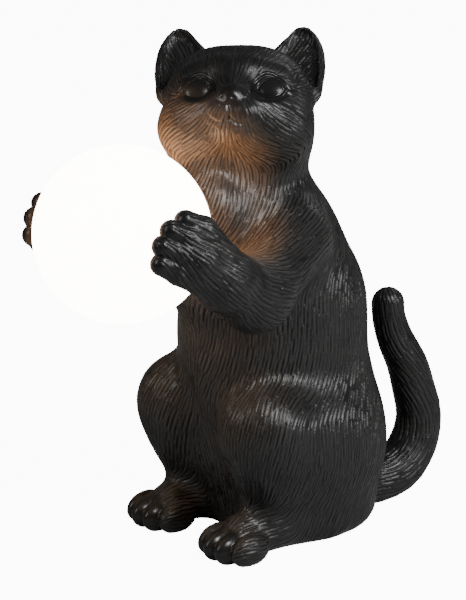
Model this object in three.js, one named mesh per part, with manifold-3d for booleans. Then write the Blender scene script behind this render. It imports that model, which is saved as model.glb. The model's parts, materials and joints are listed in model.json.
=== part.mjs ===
// Figural accent lamp. A cast cat sits up on its haunches and holds a lit globe between its front paws.
// Lengths are millimetres. +Z is up, -Y is the way the cat's body faces and +X is the cat's left.
import * as THREE from "three";
import { mergeVertices } from "three/addons/utils/BufferGeometryUtils.js";
import Module from "manifold-3d";

const wasm = await Module();
wasm.setup();

// ---------------------------------------------------------------- driving dimensions
const FIGURE_HEIGHT = 292; // floor to ear tips
const CLEARANCE = 0.3; // between pieces that are fitted together

const PAD_THICKNESS = 1.5;
const PAD_RADIUS = 4.5;

const GLOBE_RADIUS = 50;
const GLOBE_WALL = 2.5;
const GLOBE_GAP = 1.2; // globe to the casting round it
const NECK_RADIUS = 18; // outside of the globe's glass neck
const NECK_LENGTH = 7.5;
const COLLAR_WALL = 2.2;
const LUG_HEIGHT = 2.1;
const LUG_LENGTH = 2.5;
const LUG_HALF_ANGLE = 9; // degrees
const TWIST = 35; // degrees from locked to free
const LUG_COUNT = 3;
const SOCKET_WALL = 2.5; // outside the bayonet groove
const SOCKET_BACK = 2.6;
const GASKET_THICKNESS = 1;

const TUBE_RADIUS = 5;
const TUBE_BORE = 3.4;
const TUBE_SEAT_DEPTH = 20; // chest between the socket and the nut at the back
const NUT_HEIGHT = 3.2;
const NUT_RADIUS = 8; // across corners
const WASHER_THICKNESS = 1.2;
const WASHER_RADIUS = 9.5;
const POST_RADIUS = 8;
const POST_HEAD_RADIUS = 9.4;
const POST_HEAD_LENGTH = 10;
const POST_FRONT = 14; // globe centre to the LED's mounting face
const BOARD_RADIUS = 7.6;
const BOARD_THICKNESS = 1.2;
const EMITTER_RADIUS = 3.6;
const EMITTER_THICKNESS = 1;
const DIFFUSER_WALL = 1.2;
const LEAD_RADIUS = 0.7;

const BASE_RADIUS_X = 42;
const BASE_RADIUS_Y = 36;
const BASE_THICKNESS = 3;
const LEDGE_WIDTH = 4; // seat of the base plate inside the casting
const BOSS_RADIUS = 4.5;
const BOSS_TOP = 20;
const SCREW_RADIUS = 1.5;
const SCREW_HEAD_RADIUS = 3;
const SCREW_HEAD_HEIGHT = 1.8;
const SCREW_LENGTH = 13;

const CELL_RADIUS = 5.25;
const CELL_LENGTH = 44.5;
const CELL_COUNT = 3;
const CELL_GAP = 0.9;
const SPRING_LENGTH = 4.2;
const SPRING_RADIUS = 3.4;
const SPRING_WIRE = 0.35;
const CONTACT_THICKNESS = 0.5;
const WELL_WALL = 1.5;

const DOOR_THICKNESS = 1.7;
const DOOR_LIP = 1.6; // door beyond the well on each side
const HINGE_RADIUS = 1.7;
const PIN_RADIUS = 0.8;
const HINGE_LENGTH = 40;
const HINGE_LUG = 3.4;
const HINGE_RELIEF = 1; // behind the door, for its back edge as it swings
const LATCH_WIDTH = 8;

const SWITCH_LENGTH = 12;
const SWITCH_WIDTH = 5;
const SWITCH_HEIGHT = 4.6;
const KNOB_TRAVEL = 4;
const KNOB_LENGTH = 4.4;
const KNOB_WIDTH = 4;
const STEM_LENGTH = 3; // of the knob, inside the switch
const STEM_WIDTH = 2;

const CIRCUIT_LENGTH = 34;
const CIRCUIT_WIDTH = 20;
const CIRCUIT_THICKNESS = 1.6;
const STANDOFF = 2.6;

const TAIL_PEG_RADIUS = 5;
const TAIL_PEG_LENGTH = 10;
const TAIL_GAP = 0.8;

// ---------------------------------------------------------------- places that follow from them
const MODEL_HEIGHT = 292; // the cat's form is written at this height
const FIGURE = FIGURE_HEIGHT / MODEL_HEIGHT;
const CHEST_FRONT = -64.5 * FIGURE; // where the back of the globe comes
const GLOBE = new THREE.Vector3(0, CHEST_FRONT - GLOBE_RADIUS, 198.5 * FIGURE);
const BASE_Y = 14 * FIGURE;
const EPS = 0.5; // how far a cutter runs past the face it cuts

// ---------------------------------------------------------------- geometry helpers
function closed(geometry) {
  const bare = geometry.clone();
  bare.deleteAttribute("normal");
  bare.deleteAttribute("uv");
  const merged = mergeVertices(bare, 1e-4);
  const corners = merged.index.array;
  const position = merged.attributes.position;
  const [a, b, c] = [new THREE.Vector3(), new THREE.Vector3(), new THREE.Vector3()];
  let kept = [];
  let volume = 0;
  for (let i = 0; i < corners.length; i += 3) {
    const [p, q, r] = corners.slice(i, i + 3);
    if (p === q || q === r || r === p) continue;
    kept.push(p, q, r);
    a.fromBufferAttribute(position, p);
    b.fromBufferAttribute(position, q);
    c.fromBufferAttribute(position, r);
    volume += a.dot(b.cross(c));
  }
  if (volume < 0) kept = kept.reverse();
  merged.setIndex(kept);
  return merged;
}

function solid(geometry) {
  const whole = closed(geometry);
  return new wasm.Manifold(new wasm.Mesh({
    numProp: 3,
    vertProperties: new Float32Array(whole.attributes.position.array),
    triVerts: new Uint32Array(whole.index.array),
  }));
}

function shapeOf(manifold) {
  const mesh = manifold.getMesh();
  const geometry = new THREE.BufferGeometry();
  geometry.setAttribute("position", new THREE.BufferAttribute(new Float32Array(mesh.vertProperties), 3));
  geometry.setIndex(new THREE.BufferAttribute(new Uint32Array(mesh.triVerts), 1));
  return geometry;
}

// A box by its lowest corner and highest corner.
function block(x0, y0, z0, x1, y1, z1) {
  const geometry = new THREE.BoxGeometry(x1 - x0, y1 - y0, z1 - z0);
  return geometry.translate((x0 + x1) / 2, (y0 + y1) / 2, (z0 + z1) / 2);
}

// A round bar along Y, one along Z and one along X.
function rodY(radius, y0, y1, x = 0, z = 0, sides = 20) {
  return new THREE.CylinderGeometry(radius, radius, y1 - y0, sides).translate(x, (y0 + y1) / 2, z);
}

function rodZ(radius, z0, z1, x = 0, y = 0, sides = 16) {
  const rod = new THREE.CylinderGeometry(radius, radius, z1 - z0, sides).rotateX(Math.PI / 2);
  return rod.translate(x, y, (z0 + z1) / 2);
}

function rodX(radius, x0, x1, y = 0, z = 0, sides = 16) {
  const rod = new THREE.CylinderGeometry(radius, radius, x1 - x0, sides).rotateZ(Math.PI / 2);
  return rod.translate((x0 + x1) / 2, y, z);
}

// A turned piece on the Y axis: pairs of radius and place along the axis.
function turned(profile, sides = 32) {
  return closed(new THREE.LatheGeometry(profile.map(([r, y]) => new THREE.Vector2(r, y)), sides));
}

// A turned piece standing on Z.
function turnedZ(profile, sides = 16) {
  return turned(profile, sides).rotateX(Math.PI / 2);
}

// An elliptical slab between two heights.
function ovalSlab(radiusX, radiusY, z0, z1, segments = 32) {
  const outline = new THREE.Shape();
  outline.absellipse(0, 0, radiusX, radiusY, 0, 2 * Math.PI);
  const settings = { depth: z1 - z0, bevelEnabled: false, curveSegments: segments };
  return new THREE.ExtrudeGeometry(outline, settings).translate(0, 0, z0);
}

// Part of a ring round Y. Its two angles, in degrees, turn the way a joint about +Y does.
function ringSector(inner, outer, from, to, y0, y1, segments = 5) {
  const [a, b] = [THREE.MathUtils.degToRad(from), THREE.MathUtils.degToRad(to)];
  const outline = new THREE.Shape();
  outline.absarc(0, 0, outer, a, b, false);
  outline.absarc(0, 0, inner, b, a, true);
  const settings = { depth: y1 - y0, bevelEnabled: false, curveSegments: segments };
  return new THREE.ExtrudeGeometry(outline, settings).rotateX(-Math.PI / 2).translate(0, y0, 0);
}

function circleShape(radius) {
  const outline = new THREE.Shape();
  outline.absarc(0, 0, radius, 0, 2 * Math.PI, false);
  return outline;
}

// ---------------------------------------------------------------- the cat's form
// A form is a function of (x, y, z) that gives a distance: negative inside, positive outside.
function egg([cx, cy, cz], [rx, ry, rz], axes = null) {
  return (x, y, z) => {
    let [u, v, w] = [x - cx, y - cy, z - cz];
    if (axes) [u, v, w] = axes.map((axis) => axis[0] * (x - cx) + axis[1] * (y - cy) + axis[2] * (z - cz));
    const scaled = Math.hypot(u / rx, v / ry, w / rz);
    const slope = Math.hypot(u / rx ** 2, v / ry ** 2, w / rz ** 2);
    return (scaled * (scaled - 1)) / Math.max(slope, 1e-6);
  };
}

const ball = (centre, radius) => egg(centre, [radius, radius, radius]);

// A limb: the round cone over two balls.
function limb(a, b, radiusA, radiusB) {
  const axis = b.map((value, i) => value - a[i]);
  const length2 = axis[0] ** 2 + axis[1] ** 2 + axis[2] ** 2;
  const taper = radiusA - radiusB;
  const side2 = length2 - taper ** 2;
  return (x, y, z) => {
    const from = [x - a[0], y - a[1], z - a[2]];
    const along = from[0] * axis[0] + from[1] * axis[1] + from[2] * axis[2];
    const beyond = along - length2;
    const off = from.map((value, i) => value * length2 - axis[i] * along);
    const off2 = off[0] ** 2 + off[1] ** 2 + off[2] ** 2;
    const along2 = along ** 2 * length2;
    const beyond2 = beyond ** 2 * length2;
    const limit = Math.sign(taper) * taper ** 2 * off2;
    if (Math.sign(beyond) * side2 * beyond2 > limit) return Math.sqrt(off2 + beyond2) / length2 - radiusB;
    if (Math.sign(along) * side2 * along2 < limit) return Math.sqrt(off2 + along2) / length2 - radiusA;
    return (Math.sqrt((off2 * side2) / length2) + along * taper) / length2 - radiusA;
  };
}

// A flat triangle, made thick all round by its radius.
function flap(a, b, c, radius) {
  const triangle = new THREE.Triangle(...[a, b, c].map((corner) => new THREE.Vector3(...corner)));
  const point = new THREE.Vector3();
  const nearest = new THREE.Vector3();
  return (x, y, z) => {
    point.set(x, y, z);
    triangle.closestPointToPoint(point, nearest);
    return nearest.distanceTo(point) - radius;
  };
}

// Forms joined with a fillet of about the given size.
function blend(fillet, ...forms) {
  return (x, y, z) => forms.map((form) => form(x, y, z)).reduce((a, b) => {
    const near = Math.max(fillet - Math.abs(a - b), 0) / fillet;
    return Math.min(a, b) - near * near * fillet * 0.25;
  });
}

// Left, forward and up axes of something turned by yaw, then tilted up by pitch, then rolled.
function axesOf(yaw, pitch, roll = 0) {
  const [y, t, r] = [yaw, pitch, roll].map(THREE.MathUtils.degToRad);
  const forward = new THREE.Vector3(Math.sin(y) * Math.cos(t), -Math.cos(y) * Math.cos(t), Math.sin(t));
  const level = new THREE.Vector3(Math.cos(y), Math.sin(y), 0);
  const upright = forward.clone().cross(level);
  const left = level.clone().multiplyScalar(Math.cos(r)).addScaledVector(upright, Math.sin(r));
  const up = upright.multiplyScalar(Math.cos(r)).addScaledVector(level, -Math.sin(r));
  return [left.toArray(), forward.toArray(), up.toArray()];
}

const SIDES = [-1, 1];
const HEAD = [-0.5, -26.5, 255.5];
const HEAD_AXES = axesOf(42, 38, 2);

// A form written in the head's own axes: left, forward, up.
function onHead(form) {
  return (x, y, z) => form(...HEAD_AXES.map((axis) => (
    axis[0] * (x - HEAD[0]) + axis[1] * (y - HEAD[1]) + axis[2] * (z - HEAD[2]))));
}

function headForm() {
  let form = egg([0, -6, 2], [42, 38, 36]);
  for (const s of SIDES) {
    form = blend(12, form, egg([s * 14, -8, 14], [23, 26, 21]));
    form = blend(14, form, egg([s * 22, 8, -17], [23, 22, 20]));
  }
  form = blend(10, form, egg([0, 27, -13], [19, 15, 14]));
  for (const s of SIDES) form = blend(8, form, limb([s * 7, 24, 12], [s * 20, 19, 13], 8, 7));
  form = blend(6, form, egg([0, 34, -14], [11, 9, 9]));
  return onHead(form);
}

function earForm(s) {
  const inner = [s * 15, -14, 30];
  const outer = [s * 38.5, -8, 12];
  const side = [s * 41, -14, 37];
  const tip = [s * 35.5, -21, 55];
  const thick = 6.5;
  return onHead(blend(1, flap(inner, outer, tip, thick), flap(outer, side, tip, thick)));
}

function torsoForm() {
  const trunk = limb([0, 13, 66], [0, 2, 158], 55.5, 43);
  const throat = limb([0, -8, 186], [0, -18, 226], 36, 29);
  const belly = egg([0, -20, 120], [38, 38, 60]);
  const rump = egg([0, 14, 42], [58, 54, 46]);
  const seat = egg([0, 14, 10], [54, 47, 20]);
  const ruff = limb([0, -30, 200], [0, -52, 199], 34, 32); // holds the globe's socket
  const chest = egg([0, -44, 160], [30, 29, 26]);
  const nape = egg([0, -12, 236], [30, 30, 24]);
  let form = blend(22, trunk, throat);
  form = blend(25, form, belly);
  form = blend(20, form, rump, seat);
  form = blend(14, form, ruff, chest);
  return blend(12, form, nape);
}

function legForm(s) {
  const reach = s < 0 ? 3 : 0; // the right leg is set back a little
  const thigh = egg([s * 37, -12, 60], [27, 45, 40], axesOf(0, 18));
  const knee = ball([s * 36, -43 + reach * 0.7, 80], 20);
  const shin = limb([s * 36, -42 + reach, 72], [s * 32, -30 + reach, 22], 19, 13);
  const foot = limb([s * 38, -2, 14], [s * 33, -54 + reach, 12.5], 14, 13);
  return blend(12, blend(15, blend(22, thigh, knee), shin), foot);
}

function toeForm(s) {
  const front = s < 0 ? -61 : -66;
  const toes = [[-13.5, 4], [-4.7, 0], [4.7, 0], [13.5, 5]];
  return blend(1.5, ...toes.map(([x, y]) => egg([s * 34 + x, front + y, 9.5], [6.6, 14, 9.5])));
}

// A place beside the globe on one side, so that the paws follow the globe's size and place.
function grip(s, side, forward, up) {
  const lower = s < 0 ? 6 : 0; // the right paw holds a little lower
  return [s * (GLOBE_RADIUS / FIGURE + side), GLOBE.y / FIGURE + forward, GLOBE.z / FIGURE + up - lower];
}

function armForm(s) {
  const elbow = [s * 54, -64, 165];
  const wrist = grip(s, 11, 20.5, s < 0 ? -17.5 : -20.5);
  const palm = grip(s, 11, 2.5, -6.5);
  const upper = limb([s * 33, -16, 184], elbow, 23, 19.5);
  const fore = limb(elbow, wrist, 18.5, 15.5);
  const hand = limb(wrist, palm, 15.5, 13);
  return blend(8, blend(12, upper, fore), hand);
}

function fingerForm(s) {
  const places = [[-4, 14], [3, 5.5], [4, -4], [0, -13]];
  return blend(1.2, ...places.map(([back, rise]) => limb(
    grip(s, 11, 0.5 - 0.85 * (back - 4) + 0.52 * rise, -1.5 + 0.52 * (back - 4) + 0.85 * rise),
    grip(s, 4.5, -12.5 - 0.85 * back + 0.52 * rise, 6 + 0.52 * back + 0.85 * rise), 7, 6)));
}

// The figure without its ears, fingers and toes.
function catForm() {
  const low = blend(12, torsoForm(), legForm(-1), legForm(1));
  return blend(14, blend(12, low, armForm(-1), armForm(1)), headForm());
}

// The hollow inside the casting, well clear of the skin.
function hollowForm() {
  const trunk = limb([0, 13, 66], [0, 3, 156], 47, 35);
  const throat = limb([0, -4, 186], [0, -12, 222], 25, 20);
  const rump = egg([0, 14, 44], [47, 42, 37]);
  const skull = ball([-0.5, -24, 252], 26);
  return blend(14, blend(20, blend(18, trunk, throat), rump), skull);
}

// The tail's centre line: place and radius at each knot, from inside the rump to the tip.
const TAIL_LINE = [
  [8, 34, 18, 15], [20, 58, 14.5, 15], [27, 79, 19, 15], [28, 93, 32, 14.5], [27, 99, 49, 13.7],
  [25, 96, 67, 13], [24, 91, 83, 12.2], [21, 84, 99, 11], [19, 80, 113, 10], [18, 80, 122, 9.8],
];

function tailForm() {
  const links = TAIL_LINE.slice(1).map((end, i) => {
    const start = TAIL_LINE[i];
    return limb(start.slice(0, 3), end.slice(0, 3), start[3], end[3]);
  });
  return blend(4, ...links);
}

// The skin of a form inside a box, as a closed net of quads. One vertex stands in each cell of the
// grid that the skin passes through, and is then moved onto the skin.
function skin(form, [low, high], cell, growth = 0) {
  const field = (x, y, z) => FIGURE * form(x / FIGURE, y / FIGURE, z / FIGURE) - growth;
  const from = low.map((value) => value * FIGURE - 2 * cell);
  const counts = high.map((value, i) => Math.ceil((value * FIGURE + 2 * cell - from[i]) / cell) + 1);
  const [nx, ny, nz] = counts;
  const values = new Float64Array(nx * ny * nz);
  const at = (i, j, k) => (i * ny + j) * nz + k;
  for (let i = 0; i < nx; i++) {
    for (let j = 0; j < ny; j++) {
      for (let k = 0; k < nz; k++) {
        const [x, y, z] = [i, j, k].map((value, n) => from[n] + value * cell);
        values[at(i, j, k)] = field(x, y, z);
      }
    }
  }
  settleDiagonals(values, counts, at);
  const owner = new Int32Array(nx * ny * nz).fill(-1);
  const points = [];
  const edges = cellEdges();
  for (let i = 0; i < nx - 1; i++) {
    for (let j = 0; j < ny - 1; j++) {
      for (let k = 0; k < nz - 1; k++) {
        const sum = [0, 0, 0];
        let crossings = 0;
        for (const [a, b] of edges) {
          const va = values[at(i + a[0], j + a[1], k + a[2])];
          const vb = values[at(i + b[0], j + b[1], k + b[2])];
          if (va < 0 === vb < 0) continue;
          const t = va / (va - vb);
          for (let n = 0; n < 3; n++) sum[n] += a[n] + t * (b[n] - a[n]);
          crossings++;
        }
        if (!crossings) continue;
        owner[at(i, j, k)] = points.length / 3;
        const spot = [i, j, k].map((value, n) => from[n] + cell * (value + sum[n] / crossings));
        points.push(...ontoSkin(field, spot, cell * 0.3));
      }
    }
  }
  const faces = [];
  for (let i = 1; i < nx - 1; i++) {
    for (let j = 1; j < ny - 1; j++) {
      for (let k = 1; k < nz - 1; k++) {
        const inside = values[at(i, j, k)] < 0;
        for (let n = 0; n < 3; n++) {
          const step = [0, 1, 2].map((m) => Number(m === n));
          if (inside === values[at(i + step[0], j + step[1], k + step[2])] < 0) continue;
          const [p, q] = [(n + 1) % 3, (n + 2) % 3];
          const ring = [[-1, -1], [0, -1], [0, 0], [-1, 0]].map(([dp, dq]) => {
            const c = [i, j, k];
            c[p] += dp;
            c[q] += dq;
            return owner[at(...c)];
          });
          faces.push(...splitQuad(inside ? ring : ring.reverse(), points));
        }
      }
    }
  }
  const geometry = new THREE.BufferGeometry();
  geometry.setAttribute("position", new THREE.BufferAttribute(new Float32Array(points), 3));
  geometry.setIndex(faces);
  return geometry;
}

// Where two opposite corners of a grid square are inside and the other two outside, two parts of the
// skin would share an edge. The corner nearest the skin changes sides, so that the skin stays simple.
function settleDiagonals(values, [nx, ny, nz], at) {
  const squares = [[[0, 1, 0], [0, 0, 1]], [[0, 0, 1], [1, 0, 0]], [[1, 0, 0], [0, 1, 0]]];
  for (let pass = 0; pass < 4; pass++) {
    for (let i = 0; i < nx - 1; i++) {
      for (let j = 0; j < ny - 1; j++) {
        for (let k = 0; k < nz - 1; k++) {
          for (const [u, v] of squares) {
            const ring = [
              at(i, j, k), at(i + u[0], j + u[1], k + u[2]),
              at(i + u[0] + v[0], j + u[1] + v[1], k + u[2] + v[2]), at(i + v[0], j + v[1], k + v[2])];
            const [p, q, r, s] = ring.map((corner) => values[corner] < 0);
            if (p !== r || q !== s || p === q) continue;
            const weakest = ring.reduce((a, b) => (Math.abs(values[a]) < Math.abs(values[b]) ? a : b));
            values[weakest] = values[weakest] < 0 ? 0.05 : -0.05;
          }
        }
      }
    }
  }
}

// The twelve edges of a grid cell, as pairs of its corners.
function cellEdges() {
  const edges = [];
  for (let n = 0; n < 3; n++) {
    for (const u of [0, 1]) {
      for (const v of [0, 1]) {
        const a = [0, 0, 0];
        a[(n + 1) % 3] = u;
        a[(n + 2) % 3] = v;
        const b = [...a];
        b[n] = 1;
        edges.push([a, b]);
      }
    }
  }
  return edges;
}

// A point moved along the field's slope to where the field is zero, by no more than the limit.
function ontoSkin(field, [x, y, z], limit) {
  const h = 0.5;
  const slope = [
    field(x + h, y, z) - field(x - h, y, z),
    field(x, y + h, z) - field(x, y - h, z),
    field(x, y, z + h) - field(x, y, z - h)].map((value) => value / (2 * h));
  const steepness = Math.max(Math.hypot(...slope), 0.3);
  const move = THREE.MathUtils.clamp(-field(x, y, z) / steepness, -limit, limit);
  return [x, y, z].map((value, n) => value + (slope[n] / steepness) * move);
}

// Two triangles on a quad, split along its shorter diagonal.
function splitQuad([a, b, c, d], points) {
  const gap = (p, q) => Math.hypot(...[0, 1, 2].map((n) => points[3 * p + n] - points[3 * q + n]));
  return gap(a, c) < gap(b, d) ? [a, b, c, a, c, d] : [a, b, d, b, c, d];
}

// Boxes that hold each form, at the model height, and the size of the grid cells in each.
const SIDE_REACH = GLOBE_RADIUS / FIGURE + 28;
const FRONT_REACH = GLOBE.y / FIGURE - 34;
const CAT_BOX = [[-SIDE_REACH, FRONT_REACH, -16], [SIDE_REACH, 78, 296]];
const HOLLOW_BOX = [[-50, -38, 4], [50, 62, 282]];
const TAIL_BOX = [[-10, 16, -4], [46, 116, 134]];
const CAT_CELL = 11.4 * FIGURE;
const HOLLOW_CELL = 17 * FIGURE;
const TAIL_CELL = 7.4 * FIGURE;
const DETAIL_CELL = 7.2 * FIGURE;

// The box of an ear, a hand's fingers or a foot's toes.
function detailBox(centre, half) {
  return [centre.map((value, i) => value - half[i]), centre.map((value, i) => value + half[i])];
}

// ---------------------------------------------------------------- places round the globe's axis
// These are measured from the globe's centre along +Y, towards the cat's chest.
const COLLAR_INNER = NECK_RADIUS + CLEARANCE;
const COLLAR_OUTER = COLLAR_INNER + COLLAR_WALL;
const LUG_OUTER = COLLAR_OUTER + LUG_HEIGHT;
const SOCKET_INNER = COLLAR_OUTER + CLEARANCE + 0.1;
const GROOVE_OUTER = LUG_OUTER + CLEARANCE + 0.1;
const SOCKET_OUTER = GROOVE_OUTER + SOCKET_WALL;
const NECK_START = Math.sqrt(GLOBE_RADIUS ** 2 - NECK_RADIUS ** 2);
const NECK_END = NECK_START + NECK_LENGTH;
const COLLAR_START = NECK_START + 0.8;
const COLLAR_END = NECK_END + 0.6;
const LUG_START = COLLAR_START + 2.6;
const LUG_END = LUG_START + LUG_LENGTH;
const GASKET_START = COLLAR_END + CLEARANCE;
const GASKET_END = GASKET_START + GASKET_THICKNESS;
const SOCKET_FLOOR = GASKET_END + CLEARANCE;
const SOCKET_END = SOCKET_FLOOR + SOCKET_BACK;
const CHEST_FLOOR = SOCKET_END + CLEARANCE;
const NUT_SEAT = CHEST_FLOOR + TUBE_SEAT_DEPTH;
const WASHER_START = NUT_SEAT + CLEARANCE;
const WASHER_END = WASHER_START + WASHER_THICKNESS;
const BACK_NUT_START = WASHER_END + CLEARANCE;
const BACK_NUT_END = BACK_NUT_START + NUT_HEIGHT;
const TUBE_END = BACK_NUT_END + 3;
const FRONT_NUT_END = SOCKET_FLOOR - CLEARANCE;
const FRONT_NUT_START = FRONT_NUT_END - NUT_HEIGHT;
const POST_END = FRONT_NUT_START - CLEARANCE;
const TUBE_START = POST_END - 9;
const BOARD_START = POST_FRONT - CLEARANCE - BOARD_THICKNESS;
const EMITTER_START = BOARD_START - CLEARANCE - EMITTER_THICKNESS;
const DIFFUSER_INNER = POST_HEAD_RADIUS + CLEARANCE + 0.1;
const DIFFUSER_OUTER = DIFFUSER_INNER + DIFFUSER_WALL;
const DIFFUSER_END = POST_FRONT + POST_HEAD_LENGTH - 1;

// ---------------------------------------------------------------- places in the base
const FLOOR = PAD_THICKNESS; // underside of the casting and of the base plate
const PLATE_TOP = FLOOR + BASE_THICKNESS;
const LEDGE = PLATE_TOP + CLEARANCE;
const OPENING_X = BASE_RADIUS_X * FIGURE + CLEARANCE - LEDGE_WIDTH;
const CELL_PITCH = 2 * CELL_RADIUS + CELL_GAP;
const WELL_X = (CELL_LENGTH + SPRING_LENGTH + 2 * CONTACT_THICKNESS + 3 * CLEARANCE) / 2;
const WELL_Y = (CELL_PITCH * (CELL_COUNT - 1)) / 2 + CELL_RADIUS + 0.5;
const DOOR_TOP = FLOOR + DOOR_THICKNESS;
const DOOR_SEAT = DOOR_TOP + CLEARANCE;
const CELL_Z = PLATE_TOP + CELL_RADIUS + 0.5;
const WELL_ROOF = CELL_Z + CELL_RADIUS + 0.5;
const WELL_TOP = WELL_ROOF + WELL_WALL;
const DOOR_X = WELL_X + DOOR_LIP;
const DOOR_FRONT = -(WELL_Y + DOOR_LIP);
const DOOR_BACK = WELL_Y + DOOR_LIP - CLEARANCE;
const HINGE_Y = WELL_Y + WELL_WALL + HINGE_RADIUS + 0.6;
const HINGE_Z = FLOOR + HINGE_RADIUS;
const SWITCH_X = 13.5;
const SWITCH_Y = -(WELL_Y + WELL_WALL + SWITCH_WIDTH / 2 + 1.2);
const SWITCH_FRAME_X = SWITCH_LENGTH / 2 + 1.3;
const SWITCH_FRAME_Y = SWITCH_WIDTH / 2 + 1.3;
// The opening in the seat is as long as the base asks, or as the switch's frame needs.
const FRAME_SHARE = (SWITCH_X + SWITCH_FRAME_X) / OPENING_X;
const FRAME_ROOM = (SWITCH_FRAME_Y - SWITCH_Y) / Math.sqrt(1 - FRAME_SHARE ** 2) + CLEARANCE;
const OPENING_Y = Math.max(BASE_RADIUS_Y * FIGURE + CLEARANCE - LEDGE_WIDTH, FRAME_ROOM);
const PLATE_RADIUS_X = OPENING_X + LEDGE_WIDTH - CLEARANCE;
const PLATE_RADIUS_Y = OPENING_Y + LEDGE_WIDTH - CLEARANCE;
const SCREW_SPOTS = [
  [-(OPENING_X - 2), 0], [OPENING_X - 2, 0], [0, -(OPENING_Y - 2)], [0, OPENING_Y - 2]];
const CIRCUIT_Z = WELL_TOP + STANDOFF + CLEARANCE;
const CIRCUIT_TOP = CIRCUIT_Z + CIRCUIT_THICKNESS;
const CIRCUIT_SCREW_X = CIRCUIT_LENGTH / 2 - 4;
const KNOB_SEAT = FLOOR + 1.6;
const KNOB_TOP = KNOB_SEAT - CLEARANCE;
const knobRoom = (length) => (length + KNOB_TRAVEL) / 2 + CLEARANCE;

// ---------------------------------------------------------------- materials
function finish(color, roughness, metalness = 0, extra = {}) {
  return new THREE.MeshStandardMaterial({ color, roughness, metalness, ...extra });
}

const RESIN = finish(0x1c1b1b, 0.42);
const OPAL = finish(0xfff3e0, 0.3, 0, { emissive: 0xffe2bd, emissiveIntensity: 1 });
const BLACK_PLASTIC = finish(0x202022, 0.55);
const DARK_PLASTIC = finish(0x2c2c2f, 0.6);
const SILICONE = finish(0xd8d8d4, 0.6);
const BRASS = finish(0xb89552, 0.35, 1);
const STEEL = finish(0xb9bcc0, 0.35, 1);
const ALUMINIUM = finish(0xc8cacc, 0.4, 1);
const WHITE_BOARD = finish(0xf2f2ee, 0.5);
const GREEN_BOARD = finish(0x1f5c3a, 0.45);
const PHOSPHOR = finish(0xf4d25a, 0.5);
const FROSTED = finish(0xf6f4ee, 0.45);
const RED_WIRE = finish(0xb3201c, 0.5);
const BLACK_WIRE = finish(0x1a1a1a, 0.5);
const RUBBER = finish(0x2a2a2a, 0.9);
const CELL_SKIN = finish(0x3d6f86, 0.4);

function piece(group, name, geometry, material, x = 0, y = 0, z = 0) {
  const mesh = new THREE.Mesh(geometry, material.clone());
  mesh.name = name;
  mesh.position.set(x, y, z);
  group.add(mesh);
  return mesh;
}

// ---------------------------------------------------------------- castings
function tailPeg(extra, reach) {
  const place = (i) => new THREE.Vector3(...TAIL_LINE[i].slice(0, 3)).multiplyScalar(FIGURE);
  const [root, seat] = [place(0), place(1)];
  const inward = root.sub(seat).normalize();
  const length = TAIL_PEG_LENGTH + reach + extra;
  const peg = new THREE.CylinderGeometry(TAIL_PEG_RADIUS + extra, TAIL_PEG_RADIUS + extra, length, 20);
  peg.translate(0, length / 2 - reach, 0);
  peg.applyQuaternion(new THREE.Quaternion().setFromUnitVectors(new THREE.Vector3(0, 1, 0), inward));
  return solid(peg.translate(seat.x, seat.y, seat.z));
}

function belowFloor() {
  return solid(block(-300, -400, -60, 300, 300, FLOOR));
}

// What the fittings take out of the chest: the socket's bore, the tube's hole and the nut's seat.
function chestCuts() {
  const bore = solid(rodY(SOCKET_OUTER + CLEARANCE, NECK_START - 12, CHEST_FLOOR, 0, 0, 28));
  const hole = solid(rodY(TUBE_RADIUS + CLEARANCE, CHEST_FLOOR - EPS, NUT_SEAT + 30));
  const spot = solid(rodY(WASHER_RADIUS + 1.5, NUT_SEAT, NUT_SEAT + 24));
  return bore.add(hole).add(spot).translate([GLOBE.x, GLOBE.y, GLOBE.z]);
}

function hollow() {
  const inside = solid(skin(hollowForm(), HOLLOW_BOX, HOLLOW_CELL));
  const mouth = solid(ovalSlab(OPENING_X, OPENING_Y, FLOOR - 1, 30 * FIGURE).translate(0, BASE_Y, 0));
  let space = inside.subtract(solid(block(-99, -99, -60, 99, 99, LEDGE + 3))).add(mouth);
  for (const [x, y] of SCREW_SPOTS) {
    space = space.subtract(solid(rodZ(BOSS_RADIUS, LEDGE, BOSS_TOP, x, BASE_Y + y)));
    space = space.add(solid(rodZ(SCREW_RADIUS + CLEARANCE, LEDGE - EPS, BOSS_TOP - 3, x, BASE_Y + y, 12)));
  }
  const [rabbetX, rabbetY] = [PLATE_RADIUS_X + CLEARANCE, PLATE_RADIUS_Y + CLEARANCE];
  const rabbet = ovalSlab(rabbetX, rabbetY, FLOOR - 1, LEDGE);
  return space.add(solid(rabbet.translate(0, BASE_Y, 0)));
}

// The whole outside of the figure, grown by the given amount.
function figure(growth = 0) {
  let whole = solid(skin(catForm(), CAT_BOX, CAT_CELL, growth));
  for (const s of SIDES) {
    const details = [
      [earForm(s), detailBox([s < 0 ? -36 : 22, s < 0 ? -30 : 4, 282], [34, 34, 34])],
      [fingerForm(s), detailBox(grip(s, 8, -6, 3), [18, 30, 32])],
      [toeForm(s), detailBox([s * 34, -64, 9], [24, 24, 14])]];
    for (const [form, box] of details) whole = whole.add(solid(skin(form, box, DETAIL_CELL, growth)));
  }
  return whole;
}

function catBody() {
  const round = new THREE.SphereGeometry(GLOBE_RADIUS + GLOBE_GAP, 32, 22);
  const clear = solid(round.translate(GLOBE.x, GLOBE.y, GLOBE.z));
  const body = figure().subtract(belowFloor()).subtract(clear).subtract(chestCuts()).subtract(hollow());
  return shapeOf(body.subtract(tailPeg(CLEARANCE, 14)));
}

function tail() {
  const brush = solid(skin(tailForm(), TAIL_BOX, TAIL_CELL));
  return shapeOf(brush.subtract(belowFloor()).subtract(figure(TAIL_GAP)).add(tailPeg(0, 8)));
}

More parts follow.
